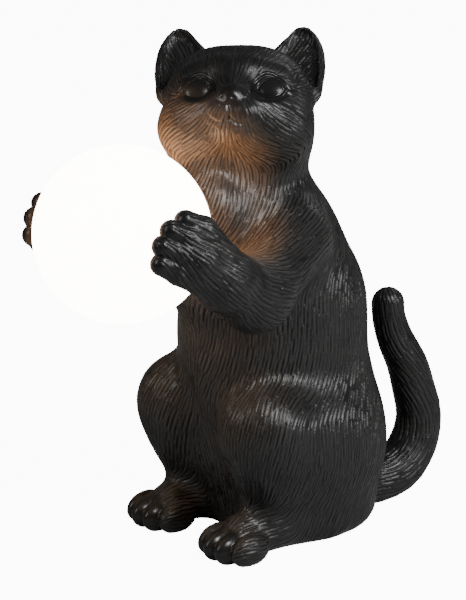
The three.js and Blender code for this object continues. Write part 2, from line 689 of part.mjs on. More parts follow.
// ---------------------------------------------------------------- globe and its holder
function arcPoints(radius, fromY, toY, steps) {
  const [a, b] = [Math.asin(fromY / radius), Math.asin(toY / radius)];
  return Array.from({ length: steps + 1 }, (_, i) => {
    const angle = a + ((b - a) * i) / steps;
    return [Math.max(radius * Math.cos(angle), 0), radius * Math.sin(angle)];
  });
}

function globe() {
  const inner = GLOBE_RADIUS - GLOBE_WALL;
  const bore = NECK_RADIUS - GLOBE_WALL;
  const outside = arcPoints(GLOBE_RADIUS, -GLOBE_RADIUS, NECK_START, 15);
  const inside = arcPoints(inner, -inner, Math.sqrt(inner ** 2 - bore ** 2), 10).reverse();
  outside[0][0] = 0;
  inside[inside.length - 1][0] = 0;
  return turned([...outside, [NECK_RADIUS, NECK_END], [bore, NECK_END], ...inside], 32);
}

function lugAngles() {
  return Array.from({ length: LUG_COUNT }, (_, i) => 90 + (360 / LUG_COUNT) * i);
}

function globeCollar() {
  const ring = [
    [COLLAR_INNER, COLLAR_START], [COLLAR_OUTER, COLLAR_START], [COLLAR_OUTER, COLLAR_END],
    [COLLAR_INNER, COLLAR_END], [COLLAR_INNER, COLLAR_START]];
  let collar = solid(turned(ring, 28));
  for (const angle of lugAngles()) {
    const [from, to] = [angle - LUG_HALF_ANGLE, angle + LUG_HALF_ANGLE];
    collar = collar.add(solid(ringSector(COLLAR_OUTER - 0.8, LUG_OUTER, from, to, LUG_START, LUG_END)));
  }
  return shapeOf(collar);
}

function globeSocket() {
  const front = LUG_START - 3;
  const hole = TUBE_RADIUS + CLEARANCE;
  let socket = solid(turned([
    [hole, SOCKET_FLOOR], [SOCKET_INNER, SOCKET_FLOOR], [SOCKET_INNER, front], [SOCKET_OUTER, front],
    [SOCKET_OUTER, SOCKET_END], [hole, SOCKET_END], [hole, SOCKET_FLOOR]], 28));
  const play = 1.5; // degrees
  const [inner, end] = [SOCKET_INNER - 0.9, LUG_END + CLEARANCE];
  for (const angle of lugAngles()) {
    const from = angle - LUG_HALF_ANGLE - play;
    const to = angle + TWIST + LUG_HALF_ANGLE + play;
    const way = to - 2 * (LUG_HALF_ANGLE + play);
    const groove = ringSector(inner, GROOVE_OUTER, from, to, LUG_START - CLEARANCE, end, 8);
    const entry = ringSector(inner, GROOVE_OUTER, way, to, front - EPS, end);
    socket = socket.subtract(solid(groove)).subtract(solid(entry));
  }
  return shapeOf(socket);
}

function ringPiece(inner, outer, start, end, sides = 24) {
  return turned([[inner, start], [outer, start], [outer, end], [inner, end], [inner, start]], sides);
}

function hexNut(start, end) {
  const nut = solid(rodY(NUT_RADIUS, start, end, 0, 0, 6));
  return shapeOf(nut.subtract(solid(rodY(TUBE_RADIUS + CLEARANCE, start - EPS, end + EPS))));
}

function ledPost() {
  const step = POST_FRONT + POST_HEAD_LENGTH;
  const shoulder = TUBE_START - CLEARANCE;
  return turned([
    [TUBE_BORE, POST_FRONT], [POST_HEAD_RADIUS, POST_FRONT], [POST_HEAD_RADIUS, step], [POST_RADIUS, step],
    [POST_RADIUS, POST_END], [TUBE_RADIUS + CLEARANCE, POST_END], [TUBE_RADIUS + CLEARANCE, shoulder],
    [TUBE_BORE, shoulder], [TUBE_BORE, POST_FRONT]], 20);
}

// A frosted cap over the LED, open at the back, that clips round the head of the post.
function ledDiffuser() {
  const dome = (radius, steps) => Array.from({ length: steps + 1 }, (_, i) => {
    const angle = (Math.PI / 2) * (i / steps);
    return [radius * Math.sin(angle), POST_FRONT - radius * Math.cos(angle)];
  });
  const outside = dome(DIFFUSER_OUTER, 6);
  const inside = dome(DIFFUSER_INNER, 6).reverse();
  const rim = [[DIFFUSER_OUTER, DIFFUSER_END], [DIFFUSER_INNER, DIFFUSER_END]];
  return turned([...outside, ...rim, ...inside], 20);
}

function addGlobe(lamp) {
  const axis = new THREE.Group();
  axis.position.copy(GLOBE);
  lamp.add(axis);
  piece(axis, "globe", globe(), OPAL);
  piece(axis, "globe_collar", globeCollar(), BLACK_PLASTIC);
  piece(axis, "globe_socket", globeSocket(), BLACK_PLASTIC);
  const gasket = ringPiece(NUT_RADIUS + 2.5, COLLAR_OUTER - 1, GASKET_START, GASKET_END);
  piece(axis, "globe_gasket", gasket, SILICONE);
  piece(axis, "holder_tube", ringPiece(TUBE_BORE, TUBE_RADIUS, TUBE_START, TUBE_END), BRASS);
  piece(axis, "tube_nut_front", hexNut(FRONT_NUT_START, FRONT_NUT_END), BRASS);
  piece(axis, "tube_nut_back", hexNut(BACK_NUT_START, BACK_NUT_END), BRASS);
  const washer = ringPiece(TUBE_RADIUS + CLEARANCE, WASHER_RADIUS, WASHER_START, WASHER_END);
  piece(axis, "tube_washer", washer, STEEL);
  piece(axis, "led_post", ledPost(), ALUMINIUM);
  piece(axis, "led_board", rodY(BOARD_RADIUS, BOARD_START, BOARD_START + BOARD_THICKNESS), WHITE_BOARD);
  const emitter = rodY(EMITTER_RADIUS, EMITTER_START, EMITTER_START + EMITTER_THICKNESS);
  piece(axis, "led_emitter", emitter, PHOSPHOR);
  piece(axis, "led_diffuser", ledDiffuser(), FROSTED);
}

// A lead runs from behind the LED board, back through the post and tube, and down to the circuit board.
function addLeads(lamp) {
  const bend = 12;
  const back = GLOBE.y + TUBE_END + 4;
  for (const [name, side, material] of [["lead_red", -1, RED_WIRE], ["lead_black", 1, BLACK_WIRE]]) {
    const x = side * (LEAD_RADIUS + 0.5);
    const end = new THREE.Vector3(side * 5, BASE_Y, CIRCUIT_TOP + CLEARANCE);
    const down = (share) => new THREE.Vector3(
      THREE.MathUtils.lerp(x, end.x, share),
      THREE.MathUtils.lerp(back + bend, end.y, share ** 0.7),
      THREE.MathUtils.lerp(GLOBE.z - bend, end.z + 12, share));
    const route = new THREE.CatmullRomCurve3([
      new THREE.Vector3(x, GLOBE.y + POST_FRONT + 1, GLOBE.z), new THREE.Vector3(x, GLOBE.y + 30, GLOBE.z),
      new THREE.Vector3(x, GLOBE.y + 60, GLOBE.z), new THREE.Vector3(x, back, GLOBE.z),
      new THREE.Vector3(x, back + bend * 0.7, GLOBE.z - bend * 0.3),
      down(0), down(0.3), down(0.65), down(1), end], false, "centripetal");
    const wire = new THREE.ExtrudeGeometry(circleShape(LEAD_RADIUS), {
      steps: 30, extrudePath: route, bevelEnabled: false, curveSegments: 3 });
    piece(lamp, name, closed(wire), material);
  }
}

// ---------------------------------------------------------------- base
// Base pieces are placed in a group whose origin is the middle of the base plate, at floor height.
function basePlate() {
  const hingeX = HINGE_LENGTH / 2 + CLEARANCE;
  const hingeReach = HINGE_RADIUS + CLEARANCE;
  const headTop = FLOOR + SCREW_HEAD_HEIGHT + 2 * CLEARANCE;
  let plate = solid(ovalSlab(PLATE_RADIUS_X, PLATE_RADIUS_Y, FLOOR, PLATE_TOP));
  const [wellX, wellY] = [WELL_X + WELL_WALL, WELL_Y + WELL_WALL];
  plate = plate.add(solid(block(-wellX, -wellY, PLATE_TOP - EPS, wellX, wellY, WELL_TOP)));
  const lugMiddle = hingeX + HINGE_LUG / 2;
  const lugTop = HINGE_Z + PIN_RADIUS + CLEARANCE + 1.2;
  for (const s of SIDES) {
    const lug = block(-HINGE_LUG / 2, -2.2, PLATE_TOP - EPS, HINGE_LUG / 2, 2.2, lugTop);
    plate = plate.add(solid(lug.translate(s * lugMiddle, HINGE_Y, 0)));
    plate = plate.add(solid(rodZ(2.6, WELL_TOP - EPS, WELL_TOP + STANDOFF, s * CIRCUIT_SCREW_X, 0, 16)));
  }
  const frameTop = PLATE_TOP + SWITCH_HEIGHT / 2;
  plate = plate.add(solid(switchSlot(SWITCH_FRAME_X, SWITCH_FRAME_Y, PLATE_TOP - EPS, frameTop)));
  const pinEnd = HINGE_LENGTH / 2 + HINGE_LUG - 0.8;
  const notch = LATCH_WIDTH / 2 + 2; // for a fingertip, at the door's front edge
  const doorX = DOOR_X + CLEARANCE;
  const [doorFront, doorBack] = [DOOR_FRONT - CLEARANCE, DOOR_BACK + HINGE_RELIEF];
  const cuts = [
    block(-WELL_X, -WELL_Y, DOOR_SEAT - EPS, WELL_X, WELL_Y, WELL_ROOF),
    block(-doorX, doorFront, FLOOR - EPS, doorX, doorBack, DOOR_SEAT),
    block(-notch, DOOR_FRONT - 3, FLOOR - EPS, notch, DOOR_FRONT, FLOOR + 1.1),
    block(-hingeX, DOOR_BACK - 3, FLOOR - EPS, hingeX, HINGE_Y + hingeReach, DOOR_SEAT),
    block(-hingeX, HINGE_Y - hingeReach, FLOOR - EPS, hingeX, HINGE_Y + hingeReach, PLATE_TOP + EPS),
    rodX(PIN_RADIUS + CLEARANCE, -pinEnd, pinEnd, HINGE_Y, HINGE_Z, 12),
    switchSlot(SWITCH_LENGTH / 2 + CLEARANCE, SWITCH_WIDTH / 2 + CLEARANCE, PLATE_TOP, frameTop + EPS),
    switchSlot(knobRoom(KNOB_LENGTH), KNOB_WIDTH / 2 + 0.6, FLOOR - EPS, KNOB_SEAT),
    switchSlot(knobRoom(STEM_LENGTH), STEM_WIDTH / 2 + CLEARANCE, FLOOR, PLATE_TOP + EPS),
    ...SCREW_SPOTS.map(([x, y]) => rodZ(SCREW_RADIUS + CLEARANCE, FLOOR - EPS, PLATE_TOP + EPS, x, y, 12)),
    ...SCREW_SPOTS.map(([x, y]) => rodZ(SCREW_HEAD_RADIUS + CLEARANCE, FLOOR - EPS, headTop, x, y)),
    ...SIDES.map((s) => rodZ(1.1, WELL_TOP + 0.2, WELL_TOP + STANDOFF + EPS, s * CIRCUIT_SCREW_X, 0, 10)),
  ];
  return shapeOf(cuts.reduce((rest, cut) => rest.subtract(solid(cut)), plate));
}

// A box round the middle of the switch, by its half length and half width.
function switchSlot(halfX, halfY, z0, z1) {
  return block(SWITCH_X - halfX, SWITCH_Y - halfY, z0, SWITCH_X + halfX, SWITCH_Y + halfY, z1);
}

function batteryDoor() {
  let door = solid(block(-DOOR_X, DOOR_FRONT, FLOOR, DOOR_X, DOOR_BACK, DOOR_TOP));
  const half = HINGE_LENGTH / 2;
  door = door.add(solid(block(-half, DOOR_BACK - 1, FLOOR, half, HINGE_Y, DOOR_TOP)));
  door = door.add(solid(rodX(HINGE_RADIUS, -half, half, HINGE_Y, HINGE_Z, 20)));
  const pinHole = rodX(PIN_RADIUS + CLEARANCE, -HINGE_LENGTH, HINGE_LENGTH, HINGE_Y, HINGE_Z, 12);
  door = door.subtract(solid(pinHole));
  const [latchFront, latchBack] = [-WELL_Y + CLEARANCE, -WELL_Y + 1.3];
  const latchX = LATCH_WIDTH / 2;
  const latch = block(-latchX, latchFront, DOOR_TOP - EPS, latchX, latchBack, DOOR_TOP + 2);
  return shapeOf(door.add(solid(latch)));
}

function screw(radius, headRadius, headHeight, length) {
  return turnedZ([
    [0, 0], [headRadius * 0.8, 0], [headRadius, headHeight * 0.35], [headRadius, headHeight],
    [radius, headHeight], [radius, length], [0, length + radius * 0.6]], 12);
}

// A cell lies along X with its button towards +X.
function cell() {
  const half = CELL_LENGTH / 2;
  const profile = [
    [0, -half], [CELL_RADIUS * 0.92, -half], [CELL_RADIUS, -half + 0.5], [CELL_RADIUS, half - 1.2],
    [CELL_RADIUS * 0.85, half - 0.9], [1.9, half - 0.9], [1.9, half], [0, half]];
  return turned(profile, 16).rotateZ(-Math.PI / 2);
}

class SpringLine extends THREE.Curve {
  constructor(turns, length, radius) {
    super();
    Object.assign(this, { turns, length, radius });
  }

  getPoint(t, target = new THREE.Vector3()) {
    const angle = 2 * Math.PI * this.turns * t;
    const radius = this.radius * (1 - 0.45 * t);
    return target.set(this.length * t, radius * Math.cos(angle), radius * Math.sin(angle));
  }
}

function contactSpring() {
  const length = SPRING_LENGTH - 2 * SPRING_WIRE - CLEARANCE;
  const coil = new THREE.ExtrudeGeometry(circleShape(SPRING_WIRE), {
    steps: 22,
    extrudePath: new SpringLine(2.5, length, SPRING_RADIUS),
    bevelEnabled: false,
    curveSegments: 3,
  });
  return closed(coil);
}

function switchBody() {
  const bottom = PLATE_TOP + CLEARANCE;
  const [x, y] = [SWITCH_LENGTH / 2, SWITCH_WIDTH / 2];
  const [stemX, stemY] = [knobRoom(STEM_LENGTH), STEM_WIDTH / 2 + CLEARANCE];
  const can = solid(block(-x, -y, bottom, x, y, bottom + SWITCH_HEIGHT));
  return shapeOf(can.subtract(solid(block(-stemX, -stemY, PLATE_TOP, stemX, stemY, bottom + 2.4))));
}

function switchKnob() {
  const [x, y] = [KNOB_LENGTH / 2, KNOB_WIDTH / 2];
  const [stemX, stemY] = [STEM_LENGTH / 2, STEM_WIDTH / 2];
  const stem = block(-stemX, -stemY, KNOB_TOP - EPS, stemX, stemY, PLATE_TOP + 2.2);
  return shapeOf(solid(block(-x, -y, FLOOR + CLEARANCE, x, y, KNOB_TOP)).add(solid(stem)));
}

function circuitBoard() {
  const [x, y] = [CIRCUIT_LENGTH / 2, CIRCUIT_WIDTH / 2];
  let board = solid(block(-x, -y, CIRCUIT_Z, x, y, CIRCUIT_TOP));
  for (const s of SIDES) {
    const hole = rodZ(1.3, CIRCUIT_Z - EPS, CIRCUIT_TOP + EPS, s * CIRCUIT_SCREW_X, 0, 12);
    board = board.subtract(solid(hole));
  }
  return shapeOf(board);
}

function addBattery(base) {
  const left = -WELL_X;
  for (let i = 0; i < CELL_COUNT; i++) {
    const y = (i - (CELL_COUNT - 1) / 2) * CELL_PITCH;
    const number = i + 1;
    const springAt = left + CONTACT_THICKNESS + 2 * CLEARANCE + SPRING_WIRE;
    const cellAt = left + CONTACT_THICKNESS + CLEARANCE + SPRING_LENGTH + CELL_LENGTH / 2;
    const plate = block(0, -4, CELL_Z - 4, CONTACT_THICKNESS, 4, CELL_Z + 4);
    piece(base, `battery_cell_${number}`, cell(), CELL_SKIN, cellAt, y, CELL_Z);
    piece(base, `contact_spring_${number}`, contactSpring(), STEEL, springAt, y, CELL_Z);
    const plateAt = WELL_X - CONTACT_THICKNESS - CLEARANCE * 0.5;
    piece(base, `spring_plate_${number}`, plate, STEEL, left + CLEARANCE * 0.5, y, 0);
    piece(base, `button_plate_${number}`, plate.clone(), STEEL, plateAt, y, 0);
  }
}

function addBase(lamp) {
  const base = new THREE.Group();
  base.position.set(0, BASE_Y, 0);
  lamp.add(base);
  piece(base, "base_plate", basePlate(), DARK_PLASTIC);
  addBattery(base);
  piece(base, "battery_door", batteryDoor(), DARK_PLASTIC);
  const pinHalf = HINGE_LENGTH / 2 + HINGE_LUG - 1.2;
  piece(base, "door_hinge_pin", rodX(PIN_RADIUS, -pinHalf, pinHalf, 0, 0, 12), STEEL, 0, HINGE_Y, HINGE_Z);
  SCREW_SPOTS.forEach(([x, y], i) => {
    const head = screw(SCREW_RADIUS, SCREW_HEAD_RADIUS, SCREW_HEAD_HEIGHT, SCREW_LENGTH);
    piece(base, `base_screw_${i + 1}`, head, STEEL, x, y, FLOOR + CLEARANCE);
  });
  piece(base, "switch_body", switchBody(), ALUMINIUM, SWITCH_X, SWITCH_Y, 0);
  piece(base, "switch_knob", switchKnob(), BLACK_PLASTIC, SWITCH_X - KNOB_TRAVEL / 2, SWITCH_Y, 0);
  piece(base, "circuit_board", circuitBoard(), GREEN_BOARD);
  for (const s of SIDES) {
    const fixing = screw(1, 1.8, 1, 5).rotateX(Math.PI);
    const headZ = CIRCUIT_TOP + 1 + CLEARANCE;
    piece(base, `board_screw_${s < 0 ? 1 : 2}`, fixing, STEEL, s * CIRCUIT_SCREW_X, 0, headZ);
  }
  const chip = block(-2.6, -2, 0, 2.6, 2, 1.5);
  piece(base, "driver_chip", chip, BLACK_PLASTIC, -9, 6, CIRCUIT_TOP + CLEARANCE);
  piece(base, "capacitor", rodZ(3.1, 0, 8), ALUMINIUM, 9, -5.5, CIRCUIT_TOP + CLEARANCE);
  piece(base, "choke_coil", rodZ(3.4, 0, 4.2), DARK_PLASTIC, -9, -5.5, CIRCUIT_TOP + CLEARANCE);
}

// Two pads stand under the front feet and two under the base plate.
function addPads(lamp) {
  const spots = [
    ["foot_pad_front_right", -33 * FIGURE, -48 * FIGURE],
    ["foot_pad_front_left", 33 * FIGURE, -51 * FIGURE],
    ["foot_pad_rear_right", -(PLATE_RADIUS_X - 8.5), BASE_Y + 13],
    ["foot_pad_rear_left", PLATE_RADIUS_X - 8.5, BASE_Y + 13]];
  for (const [name, x, y] of spots) {
    piece(lamp, name, rodZ(PAD_RADIUS, 0, PAD_THICKNESS - CLEARANCE * 0.5, 0, 0), RUBBER, x, y, 0);
  }
}

// ---------------------------------------------------------------- the lamp
function makeLamp() {
  const parts = new THREE.Group();
  piece(parts, "cat_body", catBody(), RESIN);
  piece(parts, "cat_tail", tail(), RESIN);
  addGlobe(parts);
  addLeads(parts);
  addBase(parts);
  addPads(parts);
  const box = new THREE.Box3().setFromObject(parts);
  parts.position.set(-(box.min.x + box.max.x) / 2, -(box.min.y + box.max.y) / 2, 0);
  const lamp = new THREE.Group();
  lamp.add(parts);
  return lamp;
}

export default makeLamp();
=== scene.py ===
"""A black cast cat that sits up and holds a lit opal globe.

The figure is a field of distances in millimetres, in the sculptor's own coordinates: +X is the cat's
left, -Y is the way its body faces and +Z is up. The globe's place in the frame says where they lie.
"""

import json
import math

import bmesh
import bpy
import numpy as np
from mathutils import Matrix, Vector
from mathutils.kdtree import KDTree


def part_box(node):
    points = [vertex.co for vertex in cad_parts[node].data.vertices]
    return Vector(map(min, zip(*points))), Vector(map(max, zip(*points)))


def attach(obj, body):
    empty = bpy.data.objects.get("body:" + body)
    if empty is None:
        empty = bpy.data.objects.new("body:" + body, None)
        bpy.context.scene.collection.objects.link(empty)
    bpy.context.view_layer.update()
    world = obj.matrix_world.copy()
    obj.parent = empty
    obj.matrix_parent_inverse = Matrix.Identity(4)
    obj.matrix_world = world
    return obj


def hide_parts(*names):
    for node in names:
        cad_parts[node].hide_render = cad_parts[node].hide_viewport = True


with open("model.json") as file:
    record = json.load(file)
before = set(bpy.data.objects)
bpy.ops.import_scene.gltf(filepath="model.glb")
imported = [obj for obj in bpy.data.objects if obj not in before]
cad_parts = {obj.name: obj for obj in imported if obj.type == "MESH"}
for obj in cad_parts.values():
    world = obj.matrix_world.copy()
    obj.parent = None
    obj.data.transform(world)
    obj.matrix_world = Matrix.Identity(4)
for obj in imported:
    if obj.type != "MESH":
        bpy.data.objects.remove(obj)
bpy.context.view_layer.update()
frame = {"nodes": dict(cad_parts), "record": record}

MM = 0.001
SIDES = (-1, 1)
FLOOR_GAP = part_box("base_plate")[0].z / MM  # the casting stands clear of the floor on its pads
GLOBE = (0.0, -114.5, 198.5)
GLOBE_RADIUS = 50.0
GLOBE_CLEARANCE = 1.0  # between the glass and the casting


def sculpture_origin():
    """Where the sculptor's origin lies in the frame, in metres, from the globe's place."""
    low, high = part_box("globe")
    globe_y = low.y + GLOBE_RADIUS * MM
    return np.array([(low.x + high.x) / 2, globe_y - GLOBE[1] * MM, 0.0])


ORIGIN = sculpture_origin()

# ---------------------------------------------------------------- forms


def vec(values):
    return np.asarray(values, np.float32)


def egg(p, centre, radii, axes=None):
    """An ellipsoid, with its own axes in columns if they aren't the sculptor's."""
    q = p - vec(centre)
    if axes is not None:
        q = q @ axes
    r = vec(radii)
    scaled = np.linalg.norm(q / r, axis=1)
    steep = np.linalg.norm(q / (r * r), axis=1)
    return scaled * (scaled - 1) / np.maximum(steep, 1e-6)


def ball(p, centre, radius):
    return np.linalg.norm(p - vec(centre), axis=1) - radius


def limb(p, a, b, ra, rb):
    """The round cone over two balls."""
    a, b = vec(a), vec(b)
    ba = b - a
    length2 = float(ba @ ba)
    taper = ra - rb
    side2 = length2 - taper * taper
    pa = p - a
    along = pa @ ba
    beyond = along - length2
    off = pa * length2 - along[:, None] * ba
    off2 = (off * off).sum(1)
    along2 = along * along * length2
    beyond2 = beyond * beyond * length2
    limit = np.sign(taper) * taper * taper * off2
    cone = (np.sqrt(np.maximum(off2 * side2 / length2, 0)) + along * taper) / length2 - ra
    d = np.where(np.sign(along) * side2 * along2 < limit, np.sqrt(off2 + along2) / length2 - ra, cone)
    past_b = np.sign(beyond) * side2 * beyond2 > limit
    return np.where(past_b, np.sqrt(off2 + beyond2) / length2 - rb, d)


def join(a, b, fillet):
    """Both forms, with a fillet where they meet."""
    near = np.maximum(fillet - np.abs(a - b), 0) / fillet
    return np.minimum(a, b) - near * near * fillet * 0.25


def carve(a, b, fillet):
    """The first form less the second."""
    return -join(-a, b, fillet)


LOCAL_MARGIN = 18  # more than any fillet that joins a local form


def local(p, centre, reach, form):
    """A form that lies within reach of a centre. Far from it, the distance is only a lower bound."""
    d = np.linalg.norm(p - vec(centre), axis=1) - reach
    near = d < LOCAL_MARGIN
    if near.any():
        d[near] = form(p[near])
    return d


def turned_axes(yaw, pitch, roll=0.0):
    """Columns: left, forward and up of something turned by yaw, tilted up by pitch, then rolled."""
    y, t, r = np.radians([yaw, pitch, roll])
    forward = np.array([np.sin(y) * np.cos(t), -np.cos(y) * np.cos(t), np.sin(t)])
    level = np.array([np.cos(y), np.sin(y), 0])
    upright = np.cross(forward, level)
    left = level * np.cos(r) + upright * np.sin(r)
    up = upright * np.cos(r) - level * np.sin(r)
    return np.stack([left, forward, up], 1).astype(np.float32)


# The head turns to the cat's left and looks up. Its own coordinates are left, forward and up.
HEAD = vec((-0.5, -26.5, 255.5))
HEAD_AXES = turned_axes(42, 38, 2)
THIGH_AXES = turned_axes(0, 18)
EYE = (20.6, 18.8, -2.0)
EYE_RADII = (15.0, 12.2, 13.6)


def on_head(p):
    return (p - HEAD) @ HEAD_AXES


def head(p):
    q = on_head(p)
    d = egg(q, (0, -6, 2), (42, 38, 36))
    for s in SIDES:
        d = join(d, egg(q, (s * 14, -8, 14), (23, 26, 21)), 12)
        d = join(d, egg(q, (s * 21, 10, -17), (23, 22, 20)), 14)
    d = join(d, egg(q, (-0.5, 25, -14), (20, 13.5, 13)), 15)
    for s in SIDES:
        d = join(d, limb(q, (s * 8, 25, 12), (s * 25, 19, 10.5), 8, 6.5), 8)
    for s in SIDES:
        d = carve(d, egg(q, (s * 19.5, 37, -2), (9.5, 9, 7.5)), 4)
        d = join(d, egg(q, (s * EYE[0], EYE[1], EYE[2]), EYE_RADII), 0.8)
    d = join(d, limb(q, (0, 27, 9), (-1, 36.5, -8), 7, 4.6), 7)
    d = join(d, egg(q, (-7.6, 33.2, -18.6), (7.4, 6.4, 5.4)), 4)
    d = join(d, egg(q, (5.8, 33.2, -18.6), (8.8, 6.6, 5.8)), 4)
    d = join(d, egg(q, (-1, 28.5, -26.5), (8.5, 7.0, 4.0)), 5)
    nose_top = limb(q, (-5.4, 38.2, -10.2), (0.8, 38.2, -10.2), 2.8, 2.8)
    nose = join(nose_top, ball(q, (-2.3, 38.8, -13.4), 2.4), 3)
    return join(d, nose, 1.0)


def bend(points, steps=10):
    """A smooth line through a few points."""
    points = [np.array(point, float) for point in points]
    points = [2 * points[0] - points[1], *points, 2 * points[-1] - points[-2]]
    out = []
    for a, b, c, d in zip(points[:-3], points[1:-2], points[2:-1], points[3:]):
        for t in np.linspace(0, 1, steps, endpoint=False):
            squared = (2 * a - 5 * b + 4 * c - d) * t ** 2
            out.append(0.5 * (2 * b + (c - a) * t + squared + (3 * b - a - 3 * c + d) * t ** 3))
    return np.array(out + [points[-2]])


def line_distance(at, points):
    """Distance in a plane to a line of points, and how far along it the nearest place is."""
    best = np.full(len(at), 1e9)
    where = np.zeros(len(at))
    spans = len(points) - 1
    for i in range(spans):
        a, b = points[i], points[i + 1]
        t = np.clip(((at - a) @ (b - a)) / max((b - a) @ (b - a), 1e-9), 0, 1)
        d = np.linalg.norm(at - a - t[:, None] * (b - a), axis=1)
        where = np.where(d < best, (i + t) / spans, where)
        best = np.minimum(best, d)
    return best, where


def outline_distance(at, points):
    """Distance in a plane to a closed outline, negative inside it."""
    x, y = at.T
    inside = np.zeros(len(at), bool)
    for (ax, ay), (bx, by) in zip(points[:-1], points[1:]):
        crosses = (ay > y) != (by > y)
        inside ^= crosses & (x < ax + (bx - ax) * (y - ay) / (by - ay if by != ay else 1))
    return np.where(inside, -1, 1) * line_distance(at, points)[0]


EAR_BASE, EAR_OUTER, EAR_TIP = vec((15, -14, 29)), vec((38.5, -8, 12)), vec((36.2, -20.8, 54.5))
EAR_NORMAL = np.cross(EAR_TIP - EAR_BASE, EAR_OUTER - EAR_BASE)
EAR_NORMAL = EAR_NORMAL / np.linalg.norm(EAR_NORMAL) * (1 if EAR_NORMAL[1] > 0 else -1)
EAR_SIDE = (EAR_OUTER - EAR_BASE) / np.linalg.norm(EAR_OUTER - EAR_BASE)
EAR_PLANE = np.stack([EAR_SIDE, np.cross(EAR_NORMAL, EAR_SIDE), EAR_NORMAL], 1)
EAR_HALF_THICKNESS = 6.2
EAR_RIM_WIDTH = 3.4
EAR_HOLLOW_LIFT, EAR_HOLLOW_RADIUS = 6.0, 5.4  # the hollow is pressed into the front of the ear


def ear_outline(room):
    """The edge of an ear in its own plane, drawn in from the rim by some room."""
    rim = [
        EAR_BASE, EAR_OUTER, (42.2, -10.5, 22), (43.0, -13.5, 33), (41.6, -17.5, 44.5), EAR_TIP,
        (31.5, -19.5, 50), (23.5, -16.5, 40), EAR_BASE]
    flat = ((np.array(rim) - EAR_BASE) @ EAR_PLANE)[:, :2]
    middle = flat[:-1].mean(0)
    away = np.linalg.norm(flat - middle, axis=1, keepdims=True)
    return bend(middle + (flat - middle) * (1 - room / away), 3)


EAR_RIM, EAR_HOLLOW = ear_outline(0), ear_outline(EAR_RIM_WIDTH)


def ears(p):
    q = on_head(p)
    at = (np.stack([np.abs(q[:, 0]), q[:, 1], q[:, 2]], 1) - EAR_BASE) @ EAR_PLANE
    rise = at[:, 2]
    past_rim = np.maximum(outline_distance(at[:, :2], EAR_RIM), 0)
    past_hollow = np.maximum(outline_distance(at[:, :2], EAR_HOLLOW), 0)
    leaf = np.hypot(past_rim, rise) - EAR_HALF_THICKNESS
    hollow = np.hypot(past_hollow, rise - EAR_HOLLOW_LIFT) - EAR_HOLLOW_RADIUS
    return carve(leaf, hollow, 1.0)


def torso(p):
    d = limb(p, (0, 13, 66), (0, 2, 158), 55.5, 43)
    d = join(d, egg(p, (0, 12, 133), (42, 50, 47)), 14)
    d = join(d, limb(p, (0, -8, 186), (0, -18, 226), 36, 29), 22)
    d = join(d, egg(p, (0, -20, 120), (38, 38, 60)), 25)
    rump = join(egg(p, (0, 14, 42), (58, 54, 46)), egg(p, (0, 14, 10), (54, 47, 20)), 20)
    d = join(d, rump, 20)
    chest = join(limb(p, (0, -30, 200), (0, -52, 199), 34, 32), egg(p, (0, -44, 160), (30, 29, 26)), 14)
    d = join(d, chest, 14)
    return join(d, egg(p, (0, -12, 236), (30, 30, 24)), 12)


def leg(p, s):
    reach = 3 if s < 0 else 0
    d = egg(p, (s * 37, -12, 60), (27, 45, 40), THIGH_AXES)
    d = join(d, ball(p, (s * 36, -43 + reach * 0.7, 80), 20), 22)
    d = join(d, limb(p, (s * 36, -42 + reach, 72), (s * 32, -30 + reach, 22), 19, 13), 15)
    return join(d, limb(p, (s * 38, -2, 14), (s * 33, -54 + reach, 12.5), 14, 13), 12)


TOE_FRONT = {-1: -61, 1: -66}  # the right foot stands a little further back


def toes(p, s):
    d = None
    for x, y in ((-13.5, 4), (-4.7, 0), (4.7, 0), (13.5, 5)):
        one = egg(p, (s * 34 + x, TOE_FRONT[s] + y, 9.5), (6.4, 14, 9.5))
        d = one if d is None else join(d, one, 1.2)
    return d


def grip(s, side, forward, up):
    """A place beside the globe. The right paw holds a little lower."""
    lower = 3 if s < 0 else -3
    return (s * (GLOBE_RADIUS + side), GLOBE[1] + forward, GLOBE[2] + up - lower)


def arm_line(s):
    """Shoulder, elbow, wrist and palm."""
    wrist_up = -17.5 if s < 0 else -20.5
    return (s * 33, -16, 184), (s * 54, -64, 165), grip(s, 11, 20.5, wrist_up), grip(s, 11, 2.5, -6.5)


def finger_lines(s):
    """Each finger's knuckle and tip. The fingers are set back and up along the paw's two slanted axes."""
    for back, rise in ((-4, 14), (3, 5.5), (4, -4), (0, -13)):
        behind = back - 4
        yield (grip(s, 11, 0.5 - 0.85 * behind + 0.52 * rise, -1.5 + 0.52 * behind + 0.85 * rise),
               grip(s, 4.5, -12.5 - 0.85 * back + 0.52 * rise, 6 + 0.52 * back + 0.85 * rise))


def arm(p, s):
    shoulder, elbow, wrist, palm = arm_line(s)
    d = join(limb(p, shoulder, elbow, 23, 19.5), limb(p, elbow, wrist, 18.8, 16.2), 12)
    d = join(d, limb(p, wrist, palm, 16.2, 13.5), 8)
    fingers = None
    for knuckle, tip in finger_lines(s):
        knuckle, tip = vec(knuckle), vec(tip)
        hand_start, hand_end = vec(wrist) * 0.45 + knuckle * 0.55, knuckle * 0.62 + tip * 0.38
        d = join(d, limb(p, hand_start, hand_end, 9.5, 7.4), 5)
        one = limb(p, knuckle * 0.5 + tip * 0.5, tip, 6.8, 6.3)
        fingers = one if fingers is None else join(fingers, one, 0.7)
    return join(d, fingers, 2.5)


TAIL_KNOTS = (  # x, y, z and radius, from root to tip
    (8, 34, 18, 15), (20, 58, 14.5, 15), (27, 79, 19, 15), (28, 93, 32, 14.5), (27, 99, 49, 13.7),
    (25, 96, 67, 13), (24, 91, 83, 12.2), (21, 84, 99, 11), (19, 80, 113, 10), (18, 80, 122, 9.8))
TAIL = bend(TAIL_KNOTS, 3)


